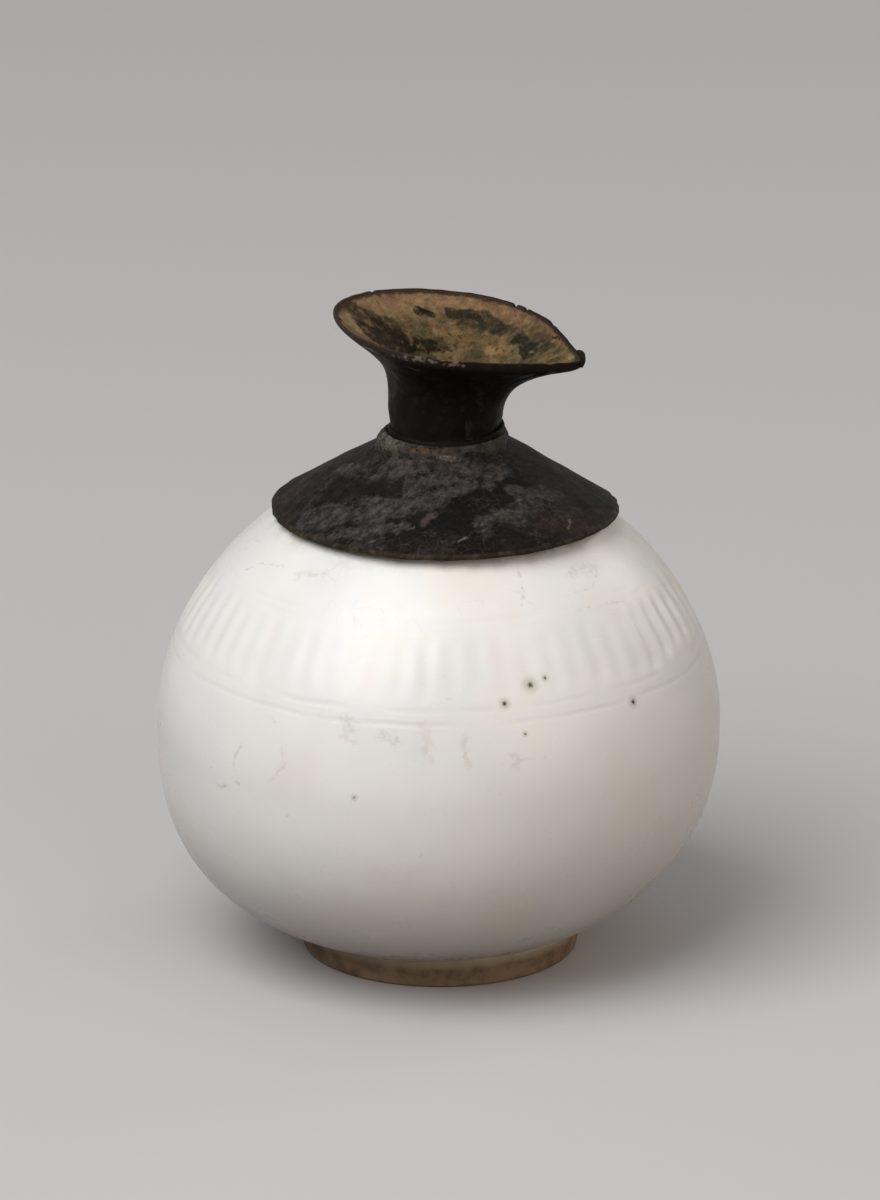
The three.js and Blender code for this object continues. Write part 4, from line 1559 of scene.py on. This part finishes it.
@dataclass
class Studio:
    """The pale floor, the soft lamps and the camera at the photograph's angle."""

    elevation: float = 19.3
    distance: float = 2.1
    target: Point = (0.0, 0.0, 0.0514)
    focal: float = 9080.0
    frame_size: tuple[int, int] = (880, 1200)
    target_pixel: tuple[float, float] = (438.6, 730.8)
    sensor: float = 36.0
    lit: Point = (0.0, 0.0, 0.08)
    air: float = 0.3
    floor_reach: float = 9.0
    floor_seen: Color = paint(196, 194, 194)
    floor_lit: Color = paint(92, 82, 76)
    lamps: tuple[Lamp, ...] = (
        Lamp("key_lamp", (-0.92, -1.02, 1.8), 1.8, 43.5),
        Lamp("fill_lamp", (1.3, -1.6, 0.9), 1.6, 9.0, 0.3),
        Lamp("edge_lamp", (1.5, 1.1, 0.9), 0.8, 4.0, 0.2),
    )

    def camera(self) -> None:
        """Places the camera so that the target lands on its pixel without shift."""
        angle = math.radians(self.elevation)
        ahead = Vector((0.0, math.cos(angle), -math.sin(angle)))
        upward = Vector((0.0, math.sin(angle), math.cos(angle)))
        right = Vector((1.0, 0.0, 0.0))
        across = (self.frame_size[0] / 2.0 - self.target_pixel[0]) / self.focal
        above = (self.target_pixel[1] - self.frame_size[1] / 2.0) / self.focal
        data = bpy.data.cameras.new("photo_camera")
        data.sensor_width = self.sensor
        data.lens = self.sensor * self.focal / self.frame_size[1]
        data.clip_start = 0.05
        data.clip_end = 60.0
        camera = bpy.data.objects.new("photo_camera", data)
        camera.location = Vector(self.target) - ahead * self.distance
        aim = ahead + right * across + upward * above
        camera.rotation_euler = aim.to_track_quat("-Z", "Y").to_euler()
        bpy.context.scene.collection.objects.link(camera)
        bpy.context.scene.camera = camera

    def hang(self, lamp: Lamp) -> None:
        """Adds a lamp that looks at the spittoon.

        Args:
            lamp: The lamp to hang.
        """
        data = bpy.data.lights.new(lamp.name, "AREA")
        data.size = lamp.size
        data.energy = lamp.power
        data.color = (1.0, 1.0 - 0.5 * lamp.warmth, 1.0 - lamp.warmth)
        hung = bpy.data.objects.new(lamp.name, data)
        hung.location = lamp.at
        hung.rotation_euler = (Vector(self.lit) - Vector(lamp.at)).to_track_quat("-Z", "Y").to_euler()
        bpy.context.scene.collection.objects.link(hung)

    def floor(self) -> None:
        """Lays a wide pale floor: what looks at it sees it pale, what it lights gets less."""
        reach = self.floor_reach
        mesh = bpy.data.meshes.new("pale_floor")
        corners = [(-reach, -reach, 0.0), (reach, -reach, 0.0), (reach, reach, 0.0), (-reach, reach, 0.0)]
        mesh.from_pydata(corners, [], [(0, 1, 2, 3)])
        floor = bpy.data.objects.new("pale_floor", mesh)
        bpy.context.scene.collection.objects.link(floor)
        bench = Bench("pale_floor")
        seen = bench.node("ShaderNodeLightPath", {}, "Is Camera Ray")
        mirrored = bench.node("ShaderNodeLightPath", {}, "Is Glossy Ray")
        through = bench.node("ShaderNodeLightPath", {}, "Is Transmission Ray")
        looked_at = bench.most(bench.most(seen, mirrored), through)
        color = bench.mix(looked_at, self.floor_lit, self.floor_seen)
        bench.feed(bench.shader.inputs["Base Color"], color)
        bench.shader.inputs["Roughness"].default_value = 0.85
        floor.data.materials.append(bench.material)

    def build(self) -> None:
        """Sets up world, floor, lamps and camera."""
        world = bpy.data.worlds.new("studio_air")
        bpy.context.scene.world = world
        world.use_nodes = True
        air = world.node_tree.nodes["Background"]
        air.inputs["Color"].default_value = (1.0, 1.0, 1.0, 1.0)
        air.inputs["Strength"].default_value = self.air
        self.floor()
        for lamp in self.lamps:
            self.hang(lamp)
        self.camera()
        bpy.context.scene.view_settings.view_transform = "Standard"
        LOG.info("studio ready")


def jar_marks() -> tuple[tuple[Mark, ...], tuple[Mark, ...]]:
    """Stains and dabs of the glaze, and its iron specks.

    Returns:
        The stains, and the specks with their halos.
    """
    iron, halo = paint(40, 40, 30), paint(176, 176, 152)
    olive, rosy, grey = paint(158, 152, 116), paint(204, 172, 154), paint(176, 176, 170)
    specks = (
        ((20.5, -53.8, 81.1), 0.85),
        ((14.8, -57.6, 78.0), 0.62),
        ((23.8, -52.1, 82.2), 0.4),
        ((43.9, -42.9, 73.3), 0.62),
        ((19.4, -59.0, 71.3), 0.3),
        ((-18.9, -61.9, 57.2), 0.36),
    )
    faint = (
        ((-3.9, -64.2, 44.0), 0.6),
        ((46.8, -42.4, 39.5), 0.45),
        ((-36.7, -49.9, 71.5), 0.6),
        ((-34.0, -55.1, 50.4), 0.5),
        ((-51.5, -39.3, 56.7), 0.5),
        ((2.0, -58.8, 79.2), 0.5),
        ((-16.3, -48.6, 91.1), 0.6),
    )
    strokes = (
        ((-50.3, -41.0, 52.5), (-48.2, -43.5, 53.3), 0.3, olive, 0.9),
        ((-46.6, -45.2, 55.5), (-45.2, -46.5, 55.1), 0.3, olive, 0.9),
        ((-44.7, -45.8, 63.8), (-46.6, -44.5, 60.5), 0.28, olive, 0.6),
        ((-46.6, -44.5, 60.5), (-46.0, -45.9, 55.9), 0.22, olive, 0.4),
        ((-35.7, -52.5, 65.7), (-34.4, -54.3, 62.7), 0.25, grey, 0.6),
        ((-34.4, -54.3, 62.7), (-37.6, -52.7, 57.4), 0.3, olive, 0.5),
        ((-20.9, -57.5, 73.9), (-19.9, -58.5, 72.1), 1.0, olive, 0.55),
        ((-22.1, -58.2, 70.8), (-19.0, -59.8, 69.2), 0.5, rosy, 0.7),
        ((-12.7, -60.7, 71.6), (-9.5, -61.6, 70.6), 0.7, olive, 0.6),
        ((-3.3, -61.0, 73.9), (-2.9, -62.4, 69.4), 1.1, rosy, 0.45),
        ((-2.6, -62.9, 68.4), (-1.7, -63.4, 66.2), 0.4, rosy, 0.5),
        ((5.7, -61.8, 71.3), (5.9, -62.8, 68.4), 0.6, olive, 0.45),
        ((5.9, -62.8, 67.6), (6.8, -63.3, 65.4), 0.4, rosy, 0.6),
        ((16.7, -61.1, 66.6), (17.6, -61.5, 64.6), 0.7, olive, 0.55),
        ((17.6, -61.3, 65.9), (23.9, -58.9, 65.8), 0.25, rosy, 0.5),
        ((-31.8, -29.9, 99.2), (-26.4, -32.9, 100.6), 0.7, halo, 0.7),
        ((30.0, -31.0, 100.4), (36.5, -24.0, 100.0), 0.8, halo, 0.7),
    )
    marks = [Mark(at, at, size * 2.4, grey, 0.35, 1.0) for at, size in faint]
    for start, end, width, color, strength in strokes:
        marks.append(Mark(start, end, 3.4 * width, color, 0.5 * strength, 1.0))
    spots = [Mark(at, at, size * 3.4, halo, 0.8, 1.0) for at, size in specks]
    spots += [Mark(at, at, size * 1.15, iron, 1.0, 0.75) for at, size in specks]
    return tuple(marks), tuple(spots)


def jar_crazing() -> tuple[Mark, ...]:
    """Longer crackle lines of the shoulder.

    Returns:
        The marks, in the order in which they are laid.
    """
    line = paint(186, 180, 166)
    ends = (
        ((30.8, -34.9, 96.8), (34.7, -31.3, 96.6)),
        ((34.7, -31.3, 96.6), (35.9, -25.6, 99.0)),
        ((31.5, -38.0, 93.8), (36.5, -33.8, 93.3)),
        ((36.5, -33.8, 93.3), (43.0, -26.9, 92.2)),
        ((18.1, -36.2, 102.2), (19.2, -40.2, 98.6)),
        ((19.2, -40.2, 98.6), (18.6, -43.2, 96.1)),
        ((-44.1, -16.2, 95.9), (-40.2, -18.9, 98.4)),
        ((-40.2, -18.9, 98.4), (-35.3, -24.8, 99.6)),
    )
    return tuple(Mark(start, end, 0.55, line, 0.5, 1.0) for start, end in ends)


def cone_marks() -> tuple[Mark, ...]:
    """The cone's worn zones, from the left round to the smooth right flank, and the strokes over them; the
    pinkish patch below the bead is partly a painted soft highlight.

    Returns:
        The marks, in the order in which they are laid.
    """
    pinkish_and_highlight, ash, slate = paint(82, 76, 72), paint(84, 80, 76), paint(74, 71, 69)
    dark, plum, flank = paint(24, 21, 17), paint(56, 44, 40), paint(37, 33, 29)
    light, rosy = paint(112, 104, 98), paint(104, 88, 82)
    return (
        Mark((-37.0, -8.0, 107.4), (-27.0, 8.0, 112.4), 7.0, plum, 0.8),
        # Pinkish patch below the bead: pinkish tarnish with a painted soft highlight where the light falls on
        # the front of the cone.
        Mark((-9.9, -14.0, 119.3), (12.0, -15.0, 118.6), 5.5, pinkish_and_highlight, 0.85),
        Mark((-6.0, -20.0, 117.5), (7.0, -20.0, 117.5), 4.0, pinkish_and_highlight, 0.8),
        Mark((-21.4, -3.7, 116.6), (-15.1, -15.0, 117.1), 3.2, ash, 0.7),
        Mark((-22.5, -9.5, 115.2), (-13.8, -18.5, 115.9), 3.6, paint(26, 24, 17), 1.0, 0.3),
        Mark((-28.0, -3.0, 113.2), (-24.0, -8.0, 114.4), 4.0, dark, 0.7),
        Mark((-29.2, -19.1, 108.8), (-14.4, -24.5, 113.0), 5.0, slate, 0.95, 0.4),
        Mark((-14.4, -24.5, 113.2), (0.3, -25.5, 115.3), 4.2, slate, 0.95, 0.4),
        Mark((0.3, -24.0, 116.0), (11.7, -18.9, 117.5), 2.6, slate, 0.9, 0.5),
        Mark((-23.4, -27.9, 108.1), (-8.0, -30.5, 111.0), 2.6, ash, 0.8),
        Mark((-16.0, -33.0, 108.4), (-6.0, -31.5, 111.0), 0.7, light, 0.5),
        Mark((-5.3, -34.9, 109.2), (4.8, -28.8, 113.2), 3.4, dark, 0.85),
        Mark((4.8, -28.8, 113.2), (15.4, -19.5, 116.1), 2.4, dark, 0.8),
        Mark((10.0, -31.0, 111.0), (21.0, -22.0, 113.2), 4.8, ash, 0.7),
        Mark((17.0, -19.8, 115.6), (27.0, -13.5, 113.6), 3.2, ash, 0.7),
        Mark((4.4, -35.3, 109.2), (12.8, -28.4, 112.1), 0.45, light, 0.75),
        Mark((18.4, -21.4, 114.2), (20.4, -20.2, 114.1), 0.9, light, 0.6),
        Mark((24.8, -17.2, 113.1), (26.6, -15.9, 112.8), 0.8, light, 0.85),
        Mark((-3.6, -31.6, 111.6), (-1.4, -29.4, 112.7), 1.8, rosy, 0.7),
        Mark((24.1, -27.0, 109.6), (34.0, -20.0, 107.6), 3.6, plum, 0.85),
        Mark((29.2, -19.6, 110.2), (29.6, -22.2, 109.2), 0.5, light, 0.75),
        Mark((29.6, -22.2, 109.2), (28.8, -24.8, 108.6), 0.45, light, 0.7),
        Mark((17.5, -7.0, 119.8), (38.2, -1.0, 109.0), 5.4, flank, 0.95, 0.15),
        Mark((18.0, 4.0, 119.5), (36.0, 12.0, 107.8), 11.0, flank, 0.6),
        Mark((0.0, 20.0, 117.5), (-2.0, 34.0, 109.0), 9.0, flank, 0.45),
        Mark((36.2, -12.0, 108.0), (38.6, -9.0, 107.8), 2.2, plum, 0.9),
    )


def bowl_marks() -> tuple[Mark, ...]:
    """The bowl's inside: peach upper band, painted shade down the left wall, grey-green blotches, smears,
    nicks and pale slivers.

    Returns:
        The marks, in the order in which they are laid.
    """
    peach, cream, gold = paint(146, 114, 84), paint(150, 134, 98), paint(134, 104, 64)
    slate, brown, green_stain_and_glint = paint(46, 41, 29), paint(36, 26, 18), paint(76, 76, 34)
    shade_khaki, teal, pink = paint(66, 54, 36), paint(40, 40, 32), paint(140, 98, 72)
    return (
        Mark((-17.0, 17.0, 150.9), (5.0, 24.9, 149.4), 3.2, peach, 0.9, 0.4),
        Mark((5.0, 24.7, 149.1), (19.0, 18.3, 147.3), 3.0, peach, 0.9, 0.4),
        Mark((19.0, 18.2, 147.1), (28.0, 1.6, 146.5), 2.4, peach, 0.85, 0.4),
        # Painted shade: the khaki, dark and brown strokes down the inside of the left wall stand for the
        # shade there.
        Mark((-18.4, 10.0, 149.3), (-10.5, 11.6, 144.0), 5.0, shade_khaki, 1.0, 0.3),
        Mark((-15.8, 5.8, 146.3), (-8.0, 10.8, 140.7), 3.4, paint(46, 38, 27), 0.95, 0.3),
        Mark((-14.6, 12.5, 147.8), (-11.1, 11.2, 144.3), 1.8, brown, 1.0, 0.3),
        Mark((-11.1, 11.2, 144.3), (-7.6, 11.3, 140.8), 1.6, brown, 0.95),
        Mark((-8.8, 12.5, 143.1), (-4.4, 14.0, 140.9), 1.7, brown, 0.85),
        Mark((-7.2, 11.9, 141.2), (0.7, 15.1, 139.3), 2.3, paint(28, 23, 14), 1.0, 0.4),
        Mark((1.3, 17.1, 141.7), (14.7, 13.7, 141.0), 2.4, gold, 0.8),
        Mark((2.6, 21.7, 145.9), (9.7, 20.8, 145.2), 2.0, slate, 1.0, 0.4),
        Mark((5.8, 19.4, 143.6), (9.6, 18.6, 143.3), 2.2, slate, 0.85),
        Mark((9.7, 20.0, 144.5), (14.5, 17.0, 143.6), 2.5, slate, 0.9, 0.4),
        Mark((14.7, 17.1, 143.6), (18.5, 14.6, 143.7), 1.8, slate, 0.55),
        Mark((-4.6, 20.2, 146.7), (-1.8, 20.5, 146.0), 1.5, paint(34, 29, 19), 1.0, 0.3),
        Mark((-1.5, 17.9, 143.3), (0.6, 17.8, 142.6), 1.6, pink, 0.8),
        Mark((-3.0, 16.0, 142.2), (1.0, 16.4, 141.0), 1.2, green_stain_and_glint, 0.55),
        Mark((18.5, 12.0, 142.1), (21.0, 5.7, 141.2), 2.6, teal, 1.0, 0.3),
        Mark((21.0, 8.0, 141.9), (25.4, 2.4, 143.6), 2.4, teal, 0.7),
        Mark((22.5, 10.5, 143.9), (24.8, 6.0, 144.0), 2.2, slate, 0.5),
        Mark((11.5, 13.8, 139.6), (15.6, 11.6, 139.8), 1.8, paint(158, 124, 82), 0.8),
        Mark((20.9, 6.5, 141.4), (21.4, 5.6, 141.5), 0.7, cream, 0.7),
        Mark((8.2, 14.6, 139.0), (9.2, 13.5, 137.9), 1.1, green_stain_and_glint, 0.95),
        Mark((-21.6, 4.2, 150.5), (-18.8, 1.1, 148.0), 2.6, cream, 0.95, 0.4),
        Mark((30.0, -9.8, 144.6), (30.8, -10.4, 145.5), 1.6, cream, 0.8),
        Mark((17.8, 19.4, 147.7), (18.0, 18.7, 146.4), 0.4, brown, 1.0, 0.4),
        Mark((25.9, 6.0, 145.1), (28.0, -0.2, 146.1), 0.45, brown, 1.0, 0.4),
        Mark((-17.0, 17.4, 151.7), (-16.6, 16.3, 150.2), 0.4, brown, 1.0, 0.4),
    )


def neck_marks() -> tuple[Mark, ...]:
    """The rim's brown edge, grey dust with a painted highlight under the front-left lip, and grey smears on
    the neck's front.

    Returns:
        The marks, in the order in which they are laid.
    """
    edge, dust_and_highlight, smear = paint(58, 46, 40), paint(118, 110, 96), paint(50, 49, 43)
    return (
        # Grey under the front-left lip: dust, with a painted highlight where the lip's outside catches the
        # light.
        Mark((-16.5, -15.4, 148.8), (-5.3, -23.7, 148.5), 1.3, dust_and_highlight, 0.85),
        Mark((-5.3, -23.7, 148.5), (5.5, -24.8, 147.6), 1.0, dust_and_highlight, 0.75),
        Mark((-14.0, -17.9, 148.3), (-8.0, -22.4, 148.0), 0.8, edge, 0.8),
        Mark((-7.8, -19.4, 145.7), (-4.6, -19.6, 144.5), 0.45, dust_and_highlight, 0.8),
        Mark((9.5, -14.0, 137.3), (9.7, -11.4, 133.0), 1.2, smear, 0.7),
        Mark((6.5, -12.3, 129.2), (7.2, -11.3, 126.2), 1.6, smear, 0.7),
        Mark((-10.0, -9.2, 140.1), (-10.4, -5.5, 134.2), 1.2, smear, 0.7),
    )


def bead_marks() -> tuple[Mark, ...]:
    """The bead's pale left, partly a painted highlight, its golden middle, a painted pinkish highlight on the
    drip at the front, and the dark crevice at the front right, painted as shade.

    Returns:
        The marks, in the order in which they are laid.
    """
    pale, dark, gold = paint(112, 106, 98), paint(20, 16, 12), paint(104, 78, 42)
    rosy, drab = paint(136, 118, 106), paint(70, 62, 52)
    return (
        # Pale left: lighter scuffs, with a painted highlight where the light falls on the left lump.
        Mark((-13.0, -3.0, 123.6), (-10.6, -9.0, 123.6), 2.4, pale, 0.85),
        Mark((-10.4, -9.6, 124.4), (-8.0, -12.4, 124.2), 1.2, pale, 0.6),
        Mark((-8.4, -11.6, 124.6), (-6.4, -13.4, 123.8), 1.2, dark, 0.9),
        Mark((-6.4, -12.8, 123.9), (-0.5, -14.7, 123.6), 1.0, gold, 0.9),
        Mark((-4.6, -13.0, 124.6), (0.6, -14.1, 124.4), 0.8, dark, 0.95),
        Mark((-2.6, -14.8, 123.0), (-1.8, -15.2, 122.6), 0.8, dark, 0.9),
        Mark((1.4, -14.9, 123.6), (7.6, -13.6, 123.4), 1.6, drab, 0.8),
        # Painted highlight: the pinkish stroke on the front of the drip.
        Mark((0.4, -15.2, 122.6), (5.0, -15.2, 122.0), 0.9, rosy, 0.9),
        # Painted shade: the dark crevice under the bead's right-hand roll.
        Mark((6.4, -14.3, 122.6), (10.6, -12.2, 122.4), 0.9, dark, 1.0, 0.3),
        Mark((11.6, -11.0, 123.4), (14.6, -6.0, 123.4), 1.8, drab, 0.85),
    )


def main() -> None:
    """Builds the spittoon piece by piece, then the studio."""
    logging.basicConfig(level=logging.INFO, format="%(name)s: %(message)s")
    sheet = TarnishedSheet(marks=cone_marks())
    neck = BlackNeck(marks=neck_marks())
    solder = SolderCrust(marks=bead_marks())
    stains, specks = jar_marks()
    PorcelainJar().build(GlazedPorcelain(marks=stains, specks=specks, crazing=jar_crazing()))
    PackingRing().build(HempFibre())
    sleeve = TenonSleeve()
    sleeve.build(TarnishedSheet(name="tarnished_tube", rim_height=0.0))
    sleeve.seam(SolderCrust(name="seam_solder"))
    ShoulderCone().build(sheet)
    SolderBead().build(solder)
    NeckCollar().build(BlackNeck(name="black_collar"))
    MouthFunnel().build(neck, BowlDeposit(marks=bowl_marks()))
    BeakCurl().build(BlackNeck(name="black_curl"))
    Studio().build()


if __name__ == "__main__":
    main()
